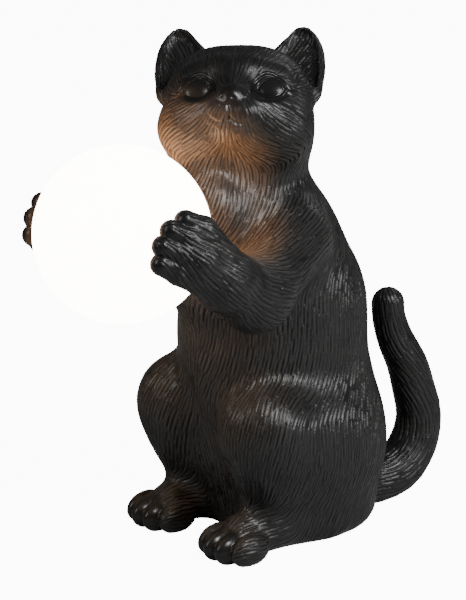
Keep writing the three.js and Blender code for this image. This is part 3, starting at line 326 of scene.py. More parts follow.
def tail(p):
    parts = [limb(p, a[:3], b[:3], a[3], b[3]) for a, b in zip(TAIL[:-1], TAIL[1:])]
    return np.minimum.reduce(parts)


def box_mm(node):
    """A CAD node's box in the sculptor's coordinates, in millimetres."""
    low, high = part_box(node)
    return (np.array(low) - ORIGIN) / MM, (np.array(high) - ORIGIN) / MM


SOCKET_LOW, SOCKET_HIGH = box_mm("globe_socket")
PLATE_LOW, PLATE_HIGH = box_mm("base_plate")
BOARD_TOP = box_mm("capacitor")[1][2]
FITTING_CLEARANCE = 0.4
SOCKET_HALF_ROOM = 14  # half the depth of the socket's bore into the chest
PLATE_ROOM = 3.3       # height of the rabbet that the base plate sits in
LEDGE = 3.7            # the plate's seat, all round the opening above it
BOARD_HEADROOM = 2


def fittings_room(p):
    """The room the socket takes out of the chest and the base plate takes out of the seat."""
    socket_radius = (SOCKET_HIGH[0] - SOCKET_LOW[0]) / 2 + FITTING_CLEARANCE
    radial = np.hypot(p[:, 0] - GLOBE[0], p[:, 2] - GLOBE[2]) - socket_radius
    from_middle = np.abs(p[:, 1] - (SOCKET_HIGH[1] - SOCKET_HALF_ROOM))
    d = np.maximum(radial, from_middle - (SOCKET_HALF_ROOM + FITTING_CLEARANCE))
    middle = (PLATE_LOW + PLATE_HIGH) / 2
    half = (PLATE_HIGH - PLATE_LOW) / 2
    rabbet = (-FITTING_CLEARANCE, PLATE_LOW[2] + PLATE_ROOM)
    opening = (LEDGE, BOARD_TOP + BOARD_HEADROOM)
    for shrink, top in (rabbet, opening):
        rx, ry = half[0] - shrink, half[1] - shrink
        oval = (np.hypot((p[:, 0] - middle[0]) / rx, (p[:, 1] - middle[1]) / ry) - 1) * min(rx, ry)
        d = np.minimum(d, np.maximum(oval, p[:, 2] - top))
    return d


def figure(p):
    """The whole sculpture: negative inside."""
    d = torso(p)
    for s in SIDES:
        d = join(d, local(p, (s * 36, -18, 55), 66, lambda at: leg(at, s)), 12)
    for s in SIDES:
        d = join(d, local(p, (s * 34, -62, 10), 26, lambda at: toes(at, s)), 3)
    for s in SIDES:
        d = join(d, local(p, (s * 50, -72, 186), 78, lambda at: arm(at, s)), 12)
    d = join(d, local(p, HEAD, 56, head), 14)
    d = join(d, local(p, HEAD, 78, ears), 4)
    d = join(d, local(p, (20, 74, 62), 86, tail), 5)
    d = np.maximum(d, FLOOR_GAP - p[:, 2])
    d = np.maximum(d, -ball(p, GLOBE, GLOBE_RADIUS + GLOBE_CLEARANCE))
    return np.maximum(d, -fittings_room(p))


def outward(p, h=0.4):
    """Unit normals of the figure's field."""
    total = 0
    for corner in ((1, -1, -1), (-1, -1, 1), (-1, 1, -1), (1, 1, 1)):
        k = vec(corner)
        total = total + k * figure(p + k * h)[:, None]
    return total / np.maximum(np.linalg.norm(total, axis=1, keepdims=True), 1e-6)


def unit(v):
    return v / np.maximum(np.linalg.norm(v, axis=1, keepdims=True), 1e-6)


def ramp(value, low, high):
    t = np.clip((value - low) / (high - low), 0, 1)
    return t * t * (3 - 2 * t)


# ---------------------------------------------------------------- meshing

CELL = 1.15
BLOCK = 6  # fine cells along a coarse cell
BATCH = 400  # coarse cells worked out at once
LOW = np.array([-84.0, -146.0, -2.0])
HIGH = np.array([84.0, 120.0, 298.0])


def sampled_field():
    """The field on a fine grid, worked out only in coarse cells that the surface may pass through."""
    wide = CELL * BLOCK
    blocks = np.ceil((HIGH - LOW) / wide).astype(int)
    middles = [LOW[i] + wide * (np.arange(blocks[i]) + 0.5) for i in range(3)]
    centres = np.stack(np.meshgrid(*middles, indexing="ij"), -1)
    rough = figure(centres.reshape(-1, 3).astype(np.float32)).reshape(blocks)
    values = rough.repeat(BLOCK, 0).repeat(BLOCK, 1).repeat(BLOCK, 2)
    reach = wide * 1.25 + 2  # from a coarse cell's middle to past its corners
    active = np.argwhere(np.abs(rough) < reach)
    steps = np.stack(np.meshgrid(*[np.arange(BLOCK)] * 3, indexing="ij"), -1).reshape(-1, 3)
    for start in range(0, len(active), BATCH):
        index = (active[start:start + BATCH, None, :] * BLOCK + steps).reshape(-1, 3)
        values[tuple(index.T)] = figure((LOW + index * CELL).astype(np.float32))
    return values


def surface_net(values):
    """Vertices and quads of the zero surface, one vertex in each grid cell that it passes through."""
    inside = values < 0
    shape = values.shape
    cells, places, rings = [], [], []
    for axis in range(3):
        a = tuple(slice(0, -1) if i == axis else slice(None) for i in range(3))
        b = tuple(slice(1, None) if i == axis else slice(None) for i in range(3))
        crossing = inside[a] != inside[b]
        at = np.argwhere(crossing)
        va, vb = values[a][crossing], values[b][crossing]
        place = at.astype(np.float64)
        place[:, axis] += va / (va - vb)
        p, q = [i for i in range(3) if i != axis]
        ring = []
        for dp, dq in ((-1, -1), (0, -1), (0, 0), (-1, 0)):
            cell = at.copy()
            cell[:, p] += dp
            cell[:, q] += dq
            ring.append(np.ravel_multi_index(tuple(cell.T), shape))
            cells.append(ring[-1])
            places.append(place)
        ring = np.stack(ring, 1)
        backward = ~(inside[a][crossing] ^ (axis == 1))
        ring[backward] = ring[backward][:, ::-1]
        rings.append(ring)
    used, inverse = np.unique(np.concatenate(cells), return_inverse=True)
    places = np.concatenate(places)
    count = np.bincount(inverse)
    points = np.stack([np.bincount(inverse, places[:, i]) / count for i in range(3)], 1)
    return points * CELL + LOW, np.searchsorted(used, np.concatenate(rings))


def mesh_object(name, points, faces):
    mesh = bpy.data.meshes.new(name)
    mesh.from_pydata(np.asarray(points).tolist(), [], np.asarray(faces).tolist())
    mesh.update()
    made = bpy.data.objects.new(name, mesh)
    bpy.context.scene.collection.objects.link(made)
    return made


def smoothed(points, faces):
    """The net after one round of subdivision: points and quads."""
    rough = mesh_object("rough", points, faces)
    rough.modifiers.new("smooth", "SUBSURF").levels = 1
    evaluated = rough.evaluated_get(bpy.context.evaluated_depsgraph_get()).to_mesh()
    count = len(evaluated.vertices)
    fine = np.empty(count * 3, np.float32)
    evaluated.vertices.foreach_get("co", fine)
    quads = np.empty(len(evaluated.loops), np.int32)
    evaluated.loops.foreach_get("vertex_index", quads)
    rough.to_mesh_clear()
    data = rough.data
    bpy.data.objects.remove(rough)
    bpy.data.meshes.remove(data)
    return fine.reshape(-1, 3).astype(np.float64), quads.reshape(-1, 4)


# ---------------------------------------------------------------- the face's fine relief

# Lines across the face, in the head's left and up. The eyes' lines are for its left eye.
UPPER_LID = bend([(11.4, -7.0), (12.8, -0.8), (18.4, 4.9), (24.4, 3.6), (29.4, -1.8)])
LOWER_LID = bend([(11.4, -7.0), (16.0, -9.6), (22.6, -8.8), (27.2, -5.2), (29.4, -1.8)])
LID_TAIL = bend([(29.4, -1.8), (32.2, -3.4), (35.2, -4.0)])
MOUTH_LEFT = bend([(-1.8, -22.4), (-5.5, -25.0), (-10.0, -24.2), (-14.0, -20.8)])
MOUTH_RIGHT = bend([(-1.8, -22.4), (2.5, -25.4), (8.0, -25.2), (12.5, -22.8)])
PHILTRUM = bend([(-2.2, -15.6), (-2.0, -18.5), (-1.8, -22.4)])
NOSTRILS, NOSTRIL_APART, NOSTRIL_RADII = (-2.3, -12.0), 3.0, (1.3, 0.7)
FACE_START, FACE_FULL = 8, 16  # forward of the head's middle: where its relief begins and is full


def eye_inset(q):
    """How far inside the nearer eye's outline a point of the face is; negative outside."""
    at = np.stack([np.abs(q[:, 0]), q[:, 2]], 1)
    near = np.linalg.norm(at - (20.5, -2.5), axis=1) < 18
    inset = np.full(len(q), -9.0)
    some = at[near]
    rim = np.minimum(line_distance(some, UPPER_LID)[0], line_distance(some, LOWER_LID)[0])
    top = np.interp(some[:, 0], UPPER_LID[:, 0], UPPER_LID[:, 1], left=-99, right=-99)
    bottom = np.interp(some[:, 0], LOWER_LID[:, 0], LOWER_LID[:, 1], left=99, right=99)
    inset[near] = np.where((some[:, 1] < top) & (some[:, 1] > bottom), rim, -rim)
    return inset


def pulse(value, middle, width):
    return np.exp(-((value - middle) / width) ** 2)


def face_relief(p, normals):
    """How far the face's lids, nostrils and mouth stand out or are cut in."""
    total = np.zeros(len(p))
    all_q = on_head(p)
    near = (all_q[:, 1] > FACE_START) & (np.abs(all_q[:, 0]) < 40) & (np.abs(all_q[:, 2] + 8) < 30)
    q = all_q[near]
    at = np.stack([q[:, 0], q[:, 2]], 1)
    mirrored = np.stack([np.abs(at[:, 0]), at[:, 1]], 1).astype(float)
    height = np.zeros(len(q))
    inset = eye_inset(q)
    upper, along = line_distance(mirrored, UPPER_LID)
    arch = np.sin(np.pi * np.clip(along, 0.02, 0.98)) ** 0.5
    above = (inset < 0) * ramp(mirrored[:, 1], -6, -2)
    height += 0.65 * pulse(inset, -0.3, 0.65) - 0.35 * pulse(inset, 0.8, 0.45)
    height += above * arch * (0.5 * pulse(upper, 2.6, 0.6) - 0.45 * pulse(upper, 1.5, 0.5))
    height -= 0.25 * pulse(inset, -1.6, 0.6)
    tail_line, along = line_distance(mirrored, LID_TAIL)
    height += 0.6 * (1 - along) * pulse(tail_line, 0, 0.6)
    for path, depth in ((PHILTRUM, 0.6), (MOUTH_LEFT, 0.9), (MOUTH_RIGHT, 0.9)):
        distance, along = line_distance(at, path)
        height -= depth * pulse(distance, 0, 0.8) * (1 - 0.6 * along)
    for s in SIDES:
        across = (at[:, 0] - NOSTRILS[0] - s * NOSTRIL_APART) / NOSTRIL_RADII[0]
        height -= 0.35 * np.exp(-np.hypot(across, (at[:, 1] - NOSTRILS[1]) / NOSTRIL_RADII[1]) ** 2)
    facing = (normals[near] @ HEAD_AXES)[:, 1]
    total[near] = height * ramp(q[:, 1], FACE_START, FACE_FULL) * ramp(facing, 0.0, 0.25)
    return total


# ---------------------------------------------------------------- the lie of the fur

LARGEST_TURN = 0.42  # radians that the fur wanders either way


def wander(p):
    """A slow change from place to place, between about -1 and 1."""
    x, y, z = p.T
    return (np.sin(x * 0.061 + 1.3 * np.sin(z * 0.043))
            + np.sin(y * 0.057 + 1.1 * np.sin(x * 0.049) + 2.0)
            + np.sin(z * 0.071 + 0.9 * np.sin(y * 0.061) + 4.0)) / 3


def lie(p, normal):
    """The direction in which the fur lies at points of the surface."""
    x, y, z = p.T
    side = np.sign(x)[:, None]
    ones = np.ones((len(p), 1))
    parts = []

    def part(distance, direction, sharpness=5.0):
        """Adds a direction that counts more the nearer its part of the body is."""
        parts.append((np.exp(-np.clip(distance, -12, 60) / sharpness)[:, None], unit(direction * ones)))

    flank = ramp(z, 120, 190)[:, None]
    part(torso(p), vec((0, -0.28, -1)) + flank * vec((0, -0.35, 0)) + side * vec((-0.12, 0, 0)))
    for s in SIDES:
        top = (ramp(z, 66, 96) * ramp(-y, 60, 20))[:, None]
        part(leg(p, s), vec((0, -0.12, -1)) * (1 - top) + vec((0, -1, -0.15)) * top)
        part(ball(p, (s * 34, -48, 10), 26), vec((0, -1, -0.15)), 3.0)
        shoulder, elbow, wrist, palm = [vec(v) for v in arm_line(s)]
        part(limb(p, shoulder, elbow, 23, 19.5), elbow - shoulder, 4.0)
        part(limb(p, elbow, wrist, 18.5, 15.5) - 1, wrist - elbow, 3.5)
        part(limb(p, wrist, palm, 19, 19) - 1, palm - wrist, 3.5)
    for a, b in zip(TAIL[:-1], TAIL[1:]):
        part(limb(p, a[:3], b[:3], a[3], b[3]) - 1, vec(b[:3]) - vec(a[:3]), 3.0)
    q = on_head(p)
    face = q - vec((-1, 34, -12))
    face[:, 1] *= 0.4
    face[:, 2] -= 16 * ramp(-q[:, 2], -6, 14)
    part(egg(q, (0, 2, -2), (44, 42, 38)) - 1, face @ HEAD_AXES.T, 5.0)
    to_tip = np.stack([np.sign(q[:, 0]) * 0.35, q[:, 0] * 0, 1 + q[:, 0] * 0], 1)
    part(ears(p) - 2, to_tip @ HEAD_AXES.T, 2.0)
    direction = sum(w * v for w, v in parts)
    direction -= normal * (direction * normal).sum(1, keepdims=True)
    direction = unit(direction)
    turn = (LARGEST_TURN * wander(p))[:, None]
    return unit(direction * np.cos(turn) + np.cross(normal, direction) * np.sin(turn))


def bareness(p):
    """1 where there is no fur: eyes, nose, finger and toe tips, and cut faces."""
    q = on_head(p)
    bare = np.zeros(len(p))
    for s in SIDES:
        for knuckle, tip in finger_lines(s):
            fingertip = limb(p, (vec(knuckle) + vec(tip)) / 2, tip, 7.8, 7.2)
            bare = np.maximum(bare, ramp(-fingertip, 0, 2))
        bare = np.maximum(bare, ramp(-ball(p, (s * 34, TOE_FRONT[s] - 6, 8), 17), 0, 5))
    bare = np.maximum(bare, ramp(eye_inset(q), -4.2, -2.6) * ramp(q[:, 1], FACE_START, 14))
    bare = np.maximum(bare, ramp(-ball(q, (-1.5, 40, -11.5), 6.5), 0, 1))
    bare = np.maximum(bare, ramp(-ball(p, GLOBE, GLOBE_RADIUS + 2.4), 0, 0.8))
    return np.maximum(bare, ramp(FLOOR_GAP + 1.6 - p[:, 2], 0, 1))


STROKE_SEEDS = 24000
STROKE_STEP = 0.9    # millimetres from one sample of a stroke to the next
STROKE_STEPS = 20    # the most samples that a stroke may have
SHORTEST_STROKE = 5  # the fewest
STROKE_ROOM = 0.95   # cell of the grid that keeps strokes apart
FACE_BALL = ((0, 10, 0), 44)  # strokes are shorter, finer and closer inside it


def fur_strokes(points, normals, rng):
    """Strokes that follow the lie of the fur and keep apart: rows of place, direction and strength."""
    furry = np.flatnonzero((bareness(points) < 0.4) & (points[:, 2] > FLOOR_GAP + 2))
    seeds = points[rng.choice(furry, STROKE_SEEDS, replace=False)]
    on_face = ramp(-ball(on_head(seeds), *FACE_BALL), 0, 10)
    length = (rng.uniform(8, STROKE_STEPS, len(seeds)) * (1 - 0.45 * on_face)).astype(int)
    spread = 1.15 - 0.35 * on_face
    strength = rng.uniform(0.55, 1.0, len(seeds)) * (1 - 0.35 * on_face)
    line, ways, ups = [], [], []
    p = seeds.astype(np.float32)
    for _ in range(STROKE_STEPS):
        up = outward(p)
        p = p - up * figure(p)[:, None]
        way = lie(p, up)
        line.append(p)
        ways.append(way)
        ups.append(up)
        p = (p + way * STROKE_STEP).astype(np.float32)
    line, ways, ups = [np.stack(v, 1) for v in (line, ways, ups)]
    bare = bareness(line.reshape(-1, 3)).reshape(line.shape[:2]) > 0.5
    taken = np.zeros(np.ceil((HIGH - LOW) / STROKE_ROOM).astype(int) + 2, bool)

    def cell(v):
        return tuple(((v - LOW) / STROKE_ROOM).astype(int).T)

    kept = []
    for i in range(len(seeds)):
        count = length[i]
        blocked = taken[cell(line[i, :count])] | bare[i, :count]
        run = count if not blocked.any() else int(np.argmax(blocked))
        if run < SHORTEST_STROKE:
            continue
        path, across = line[i, :run], np.cross(ways[i, :run], ups[i, :run]) * spread[i]
        for shift in (-1, 0, 1):
            for lift in (-0.45, 0.45):
                taken[cell(path + across * shift + ups[i, :run] * lift)] = True
        t = (np.arange(run) + 0.5) / run
        taper = np.minimum(1, 2.6 * np.sin(np.pi * t) ** 0.8) * strength[i] * min(1, run / 8)
        kept.append(np.concatenate([path, ways[i, :run], taper[:, None]], 1))
    return np.concatenate(kept)


def engraved(points, strokes):
    """How deep the nearest stroke is at each point, and how much of its lip is there, from 0 to 1."""
    tree = KDTree(len(strokes))
    for i, row in enumerate(strokes[:, :3].tolist()):
        tree.insert(row, i)
    tree.balance()
    nearest = np.array([tree.find(row)[1] for row in points.tolist()])
    hit = strokes[nearest]
    away = points - hit[:, :3]
    away -= hit[:, 3:6] * (away * hit[:, 3:6]).sum(1, keepdims=True)
    far = np.linalg.norm(points - hit[:, :3], axis=1)
    across = np.maximum(np.linalg.norm(away, axis=1), (far - 1.0) * 0.9)
    width = 0.38 + 0.34 * hit[:, 6]
    depth = hit[:, 6] * np.clip(1 - (across / width) ** 2, 0, 1)
    lip = hit[:, 6] * np.exp(-((across - width * 1.6) / 0.4) ** 2)
    return depth, lip


def streaks(points, quads, way, rng, rounds=14):
    """Fine streaks along the fur: noise smeared along the edges and diagonals that lie with it."""
    corners = ((0, 1), (1, 2), (2, 3), (3, 0), (0, 2), (1, 3))
    pairs = np.concatenate([quads[:, ends] for ends in corners])
    a, b = pairs.T
    along = unit(points[b] - points[a])
    weight = (((along * way[a]).sum(1) ** 2 + (along * way[b]).sum(1) ** 2) / 2) ** 7 + 1e-5
    count = len(points)
    total = np.bincount(a, weight, count) + np.bincount(b, weight, count)
    value = rng.standard_normal(count)
    for _ in range(rounds):
        spread = np.bincount(a, weight * value[b], count) + np.bincount(b, weight * value[a], count)
        value = 0.35 * value + 0.65 * (spread / total)
    return np.clip(value / value.std(), -2.5, 2.5)


# ---------------------------------------------------------------- materials

COLOUR_A, COLOUR_B, COLOUR_OUT = 6, 7, 2  # a Mix node's sockets when it mixes colours


def new_material(name):
    """A material, its node tree and its shader."""
    material = bpy.data.materials.new(name)
    material.use_nodes = True
    tree = material.node_tree
    return material, tree, tree.nodes["Principled BSDF"]


def node(tree, kind, inputs=(), **settings):
    """A node whose inputs are set to values or linked to other nodes' outputs."""
    made = tree.nodes.new(kind)
    for key, value in settings.items():
        setattr(made, key, value)
    for key, value in dict(inputs).items():
        if isinstance(value, bpy.types.NodeSocket):
            tree.links.new(value, made.inputs[key])
        else:
            made.inputs[key].default_value = value
    return made


def noise(tree, scale, detail=4.0, stretch=(1, 1, 1)):
    place = node(tree, "ShaderNodeTexCoord").outputs["Object"]
    if stretch != (1, 1, 1):
        place = node(tree, "ShaderNodeMapping", {"Vector": place, "Scale": stretch}).outputs["Vector"]
    made = node(tree, "ShaderNodeTexNoise", {"Vector": place, "Scale": scale, "Detail": detail})
    return made.outputs["Fac"]


def between(tree, fac, low, high, from_low=0.3, from_high=0.7):
    """Spreads a factor over another range. Most noise lies between 0.3 and 0.7."""
    made = node(tree, "ShaderNodeMapRange", {
        "Value": fac, "From Min": from_low, "From Max": from_high, "To Min": low, "To Max": high})
    return made.outputs["Result"]


def blend_colour(tree, fac, a, b):
    """Mixes two colours, each a tuple or another node's output."""
    a, b = [end if isinstance(end, bpy.types.NodeSocket) else (*end, 1) for end in (a, b)]
    made = node(tree, "ShaderNodeMix", {"Factor": fac, COLOUR_A: a, COLOUR_B: b}, data_type="RGBA")
    return made.outputs[COLOUR_OUT]


def attribute(tree, name):
    return node(tree, "ShaderNodeAttribute", attribute_name=name).outputs["Fac"]


def arithmetic(tree, operation, a, b):
    return node(tree, "ShaderNodeMath", {0: a, 1: b}, operation=operation).outputs[0]


def bump(tree, height, strength, distance, under=None):
    inputs = {"Height": height, "Strength": strength, "Distance": distance}
    if under is not None:
        inputs["Normal"] = under
    return node(tree, "ShaderNodeBump", inputs).outputs["Normal"]


MESH_VALUES = ("groove", "ridge", "streak", "bare", "painted_globe_light")  # what the cat's mesh tells its material
# The paler tones: rubbed wear on the raised hairs, and a painted highlight along the strokes' lips.
BLACK, WORN_AND_HIGHLIT_BLACK = (0.0045, 0.0045, 0.0047), (0.042, 0.04, 0.0385)
# The browns: the globe's warm light, painted onto the resin beside it.
GLOBE_LIT_BROWN, WORN_AND_HIGHLIT_GLOBE_LIT_BROWN = (0.04, 0.025, 0.0165), (0.25, 0.158, 0.102)


def resin():
    """Black cast resin with a satin coat: paler on the raised hairs, as rubbed wear with a painted
    highlight on them, darker in the grooves as painted shade, and browner where the globe's warm light is
    painted onto it.
    """
    material, tree, shader = new_material("black_resin")
    groove, ridge, streak, bare, painted_globe_light = [attribute(tree, name) for name in MESH_VALUES]
    cloud = noise(tree, 45, 3)
    streaked = between(tree, streak, -0.2, 0.45, 0, 1)
    tone = arithmetic(tree, "ADD", streaked, between(tree, cloud, 0, 0.4))
    # Darker in the strokes' grooves: painted shade in the recesses.
    tone = arithmetic(tree, "SUBTRACT", tone, arithmetic(tree, "MULTIPLY", groove, 0.5))
    # Paler on the raised lips of the strokes: rubbed wear, and a painted highlight that shows from every
    # side.
    tone = arithmetic(tree, "ADD", tone, arithmetic(tree, "MULTIPLY", ridge, 1.6))
    black = blend_colour(tree, between(tree, tone, 0, 1, 0, 2), BLACK, WORN_AND_HIGHLIT_BLACK)
    brown = blend_colour(tree, between(tree, tone, 0, 1, 0, 2), GLOBE_LIT_BROWN, WORN_AND_HIGHLIT_GLOBE_LIT_BROWN)
    # Painted globe light: the resin turns brown where it faces the globe.
    tree.links.new(blend_colour(tree, painted_globe_light, black, brown), shader.inputs["Base Color"])
    shader.inputs["Specular IOR Level"].default_value = 0.35
    rough = between(tree, noise(tree, 160, 5), 0.29, 0.38)
    rough = arithmetic(tree, "ADD", rough, arithmetic(tree, "MULTIPLY", groove, 0.12))
    rough = arithmetic(tree, "SUBTRACT", rough, arithmetic(tree, "MULTIPLY", bare, 0.09))
    tree.links.new(rough, shader.inputs["Roughness"])
    shader.inputs["Coat Weight"].default_value = 0.1
    shader.inputs["Coat Roughness"].default_value = 0.22
    fine = bump(tree, noise(tree, 900, 3), 0.22, 0.00016)
    tree.links.new(fine, shader.inputs["Normal"])
    return material


GLOBE_EMISSION = 15


def opal():
    """Opal glass, lit from inside and bright enough to look white."""
    material, tree, shader = new_material("opal_glass")
    colour = blend_colour(tree, noise(tree, 30, 2), (0.9, 0.87, 0.8), (0.95, 0.93, 0.88))
    tree.links.new(colour, shader.inputs["Base Color"])
    tree.links.new(between(tree, noise(tree, 80, 3), 0.12, 0.18), shader.inputs["Roughness"])
    glow = blend_colour(tree, noise(tree, 14, 1), (1.0, 0.93, 0.84), (1.0, 0.95, 0.88))
    tree.links.new(glow, shader.inputs["Emission Color"])
    shader.inputs["Emission Strength"].default_value = GLOBE_EMISSION
    return material


def fitting(name, pale, dark, metallic, rough, scale, grain, stretch=(1, 1, 1)):
    """A fitting's finish: two close tones, uneven gloss and a fine grain."""
    material, tree, shader = new_material(name)
    tones = between(tree, noise(tree, scale, 4, stretch), 0, 1)
    tree.links.new(blend_colour(tree, tones, dark, pale), shader.inputs["Base Color"])
    gloss = noise(tree, scale * 2.3, 5, stretch)
    tree.links.new(between(tree, gloss, rough - 0.06, rough + 0.06), shader.inputs["Roughness"])
    shader.inputs["Metallic"].default_value = metallic
    tree.links.new(bump(tree, noise(tree, scale * 5, 3, stretch), 0.3, grain), shader.inputs["Normal"])
    return material


FINISHES = {  # slot: pale and dark tone, metallic, roughness, scale, depth of grain, stretch
    "black_plastic": ((0.02, 0.02, 0.022), (0.011, 0.011, 0.012), 0, 0.42, 300, 0.00006),
    "dark_plastic": ((0.034, 0.034, 0.036), (0.02, 0.02, 0.021), 0, 0.55, 500, 0.00012),
    "silicone": ((0.72, 0.72, 0.69), (0.6, 0.6, 0.57), 0, 0.55, 200, 0.00005),
    "brass": ((0.62, 0.42, 0.15), (0.42, 0.26, 0.08), 1, 0.3, 350, 0.00004, (1, 12, 1)),
    "steel": ((0.6, 0.61, 0.63), (0.42, 0.43, 0.45), 1, 0.32, 420, 0.00003),
    "aluminium": ((0.68, 0.69, 0.7), (0.52, 0.53, 0.54), 1, 0.36, 350, 0.00004, (1, 12, 1)),
    "white_board": ((0.9, 0.9, 0.87), (0.8, 0.8, 0.77), 0, 0.35, 400, 0.00003),
    "phosphor": ((0.95, 0.72, 0.15), (0.8, 0.55, 0.08), 0, 0.5, 800, 0.00004),
    "frosted": ((0.93, 0.92, 0.88), (0.84, 0.83, 0.78), 0, 0.5, 260, 0.00005),
    "red_wire": ((0.5, 0.02, 0.015), (0.36, 0.012, 0.01), 0, 0.42, 500, 0.00003),
    "black_wire": ((0.018, 0.018, 0.018), (0.009, 0.009, 0.009), 0, 0.42, 500, 0.00003),
    "rubber": ((0.03, 0.03, 0.03), (0.017, 0.017, 0.017), 0, 0.82, 700, 0.00015),
}


def board_finish():
    """Green solder mask with paler copper lines under it."""
    material, tree, shader = new_material("green_board")
    place = node(tree, "ShaderNodeTexCoord").outputs["Object"]
    lines = node(tree, "ShaderNodeTexBrick", {
        "Vector": place, "Color1": (0.014, 0.105, 0.042, 1), "Color2": (0.011, 0.088, 0.035, 1),
        "Mortar": (0.03, 0.2, 0.085, 1), "Scale": 260.0, "Mortar Size": 0.06}).outputs["Color"]
    tree.links.new(lines, shader.inputs["Base Color"])
    tree.links.new(between(tree, noise(tree, 400, 3), 0.28, 0.4), shader.inputs["Roughness"])
    return material


def cell_finish():
    """A plain blue sleeve with a pale band at one end."""
    material, tree, shader = new_material("cell_skin")
    place = node(tree, "ShaderNodeTexCoord").outputs["Object"]
    along = node(tree, "ShaderNodeSeparateXYZ", {0: place}).outputs["X"]
    band = between(tree, along, 0, 1, 0.0135, 0.0138)
    tones = between(tree, noise(tree, 120, 4), 0, 1)
    sleeve = blend_colour(tree, tones, (0.035, 0.13, 0.2), (0.055, 0.19, 0.28))
    colour = blend_colour(tree, band, sleeve, (0.62, 0.6, 0.55))
    tree.links.new(colour, shader.inputs["Base Color"])
    tree.links.new(between(tree, noise(tree, 300, 4), 0.25, 0.36), shader.inputs["Roughness"])
    shader.inputs["Metallic"].default_value = 0.35
    return material


def finish_fittings():
    """Gives every CAD node that stays its slot's finish."""
    made = {name: fitting(name, *values) for name, values in FINISHES.items()}
    made["green_board"] = board_finish()
    made["cell_skin"] = cell_finish()
    for row in frame["record"]["subparts"]:
        if row["material_slot"] in made:
            data = frame["nodes"][row["node"]].data
            data.materials.clear()
            data.materials.append(made[row["material_slot"]])


# ---------------------------------------------------------------- pieces

# Where the globe's warm light is painted onto the resin as a brown tint.
GLOBE_PAINT_REACH, GLOBE_PAINT_FADE = 101, 24  # millimetres from the globe's middle
GLOBE_PAINT_FACING = (-0.6, 0.0)        # how squarely a place faces the globe: none and all of the painted globe light
GLOBE_PAINT_HEIGHT = (158, 192)
LIP_HEIGHT, GROOVE_DEPTH, STREAK_HEIGHT = 0.16, 0.62, 0.045
LARGEST_SNAP = 0.3               # the furthest that a point of the net is moved onto the field's surface


def painted_globe_light_mask(p, normals):
    """1 on the cheek, throat and chest beside the globe, where the globe's warm light is painted into the
    finish as a brown tint.
    """
    towards = vec(GLOBE) - p
    far = np.linalg.norm(towards, axis=1)
    facing = (normals * towards).sum(1) / far
    return ramp(GLOBE_PAINT_REACH - far, 0, GLOBE_PAINT_FADE) * ramp(facing, *GLOBE_PAINT_FACING) * ramp(p[:, 2], *GLOBE_PAINT_HEIGHT)


def build_cat():
    rng = np.random.default_rng(7)
    points, quads = smoothed(*surface_net(sampled_field()))
    p = points.astype(np.float32)
    normals = outward(p)
    points = points - normals * np.clip(figure(p), -LARGEST_SNAP, LARGEST_SNAP)[:, None]
    way = lie(p, normals)
    bare = bareness(points)
    strokes = fur_strokes(points, normals, rng)
    depth, lip = engraved(points, strokes)
    fine = streaks(points, quads, way, rng)
    hair = 1 - bare
    fur = hair * (LIP_HEIGHT * lip - GROOVE_DEPTH * depth + STREAK_HEIGHT * fine)
    points = points + normals * (face_relief(p, normals) + fur)[:, None]
    cat = mesh_object("cat_figure", points * MM + ORIGIN, quads)
    # Painted globe light: a brown tint on the cheek, throat and chest that face the globe.
    painted_globe_light = painted_globe_light_mask(points, normals)
    shown = (depth * hair, lip * hair, 0.5 + 0.2 * fine * hair, bare, painted_globe_light)
    for name, values in zip(MESH_VALUES, shown):
        layer = cat.data.attributes.new(name, "FLOAT", "POINT")
        layer.data.foreach_set("value", values.astype(np.float32))
    cat.data.shade_smooth()
    cat.data.materials.append(resin())
    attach(cat, "lamp")
    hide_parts("cat_body", "cat_tail")
    return cat


GLASS_WALL, NECK_RADIUS = 2.5, 18.0
GLASS_SHY = 0.02  # keeps the faceted glass off the CAD globe's own surface
NECK_LIP = 0.4    # the rounding of the neck's end
GLOBE_SIDES = 128


def build_globe():
    """The opal globe with its wall and its neck, turned round the axis that runs to the chest."""
    bore = NECK_RADIUS - GLASS_WALL
    neck_end = box_mm("globe")[1][1] - GLOBE[1]
    lip_start = neck_end - NECK_LIP

    def arc(radius, stop, steps):
        """Radii and places along the axis, from the far pole to where the radius is down to stop."""
        angles = np.linspace(0, math.pi - math.asin(stop / radius), steps)
        return [(radius * math.sin(t), -radius * math.cos(t)) for t in angles]

    profile = arc(GLOBE_RADIUS - GLASS_SHY, NECK_RADIUS + 0.9, 72)
    root = profile[-1][1]
    profile += [(NECK_RADIUS + 0.2, root + 0.7), (NECK_RADIUS, root + 1.6)]
    profile += [(NECK_RADIUS, lip_start), (NECK_RADIUS - NECK_LIP, neck_end)]
    profile += [(bore + NECK_LIP, neck_end), (bore, lip_start)]
    profile += arc(GLOBE_RADIUS - GLASS_WALL, bore, 40)[::-1]
    angles = np.linspace(0, 2 * np.pi, GLOBE_SIDES, endpoint=False)
    points = [(GLOBE[0] + r * math.cos(t), GLOBE[1] + y, GLOBE[2] + r * math.sin(t))
              for r, y in profile for t in angles]
    faces = []
    for ring in range(0, (len(profile) - 1) * GLOBE_SIDES, GLOBE_SIDES):
        above = ring + GLOBE_SIDES
        for j in range(GLOBE_SIDES):
            k = (j + 1) % GLOBE_SIDES
            faces.append((ring + j, ring + k, above + k, above + j))
    globe = mesh_object("globe_glass", np.array(points) * MM + ORIGIN, faces)
    join_poles(globe)
    globe.data.shade_smooth()
    globe.data.materials.append(opal())
    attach(globe, "globe_unit")
    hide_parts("globe")
    return globe


def join_poles(thing):
    """Merges the rings of points that lie on one place at a turned piece's poles."""
    work = bmesh.new()
    work.from_mesh(thing.data)
    bmesh.ops.remove_doubles(work, verts=work.verts, dist=1e-6)
    bmesh.ops.recalc_face_normals(work, faces=work.faces)
    work.to_mesh(thing.data)
    work.free()


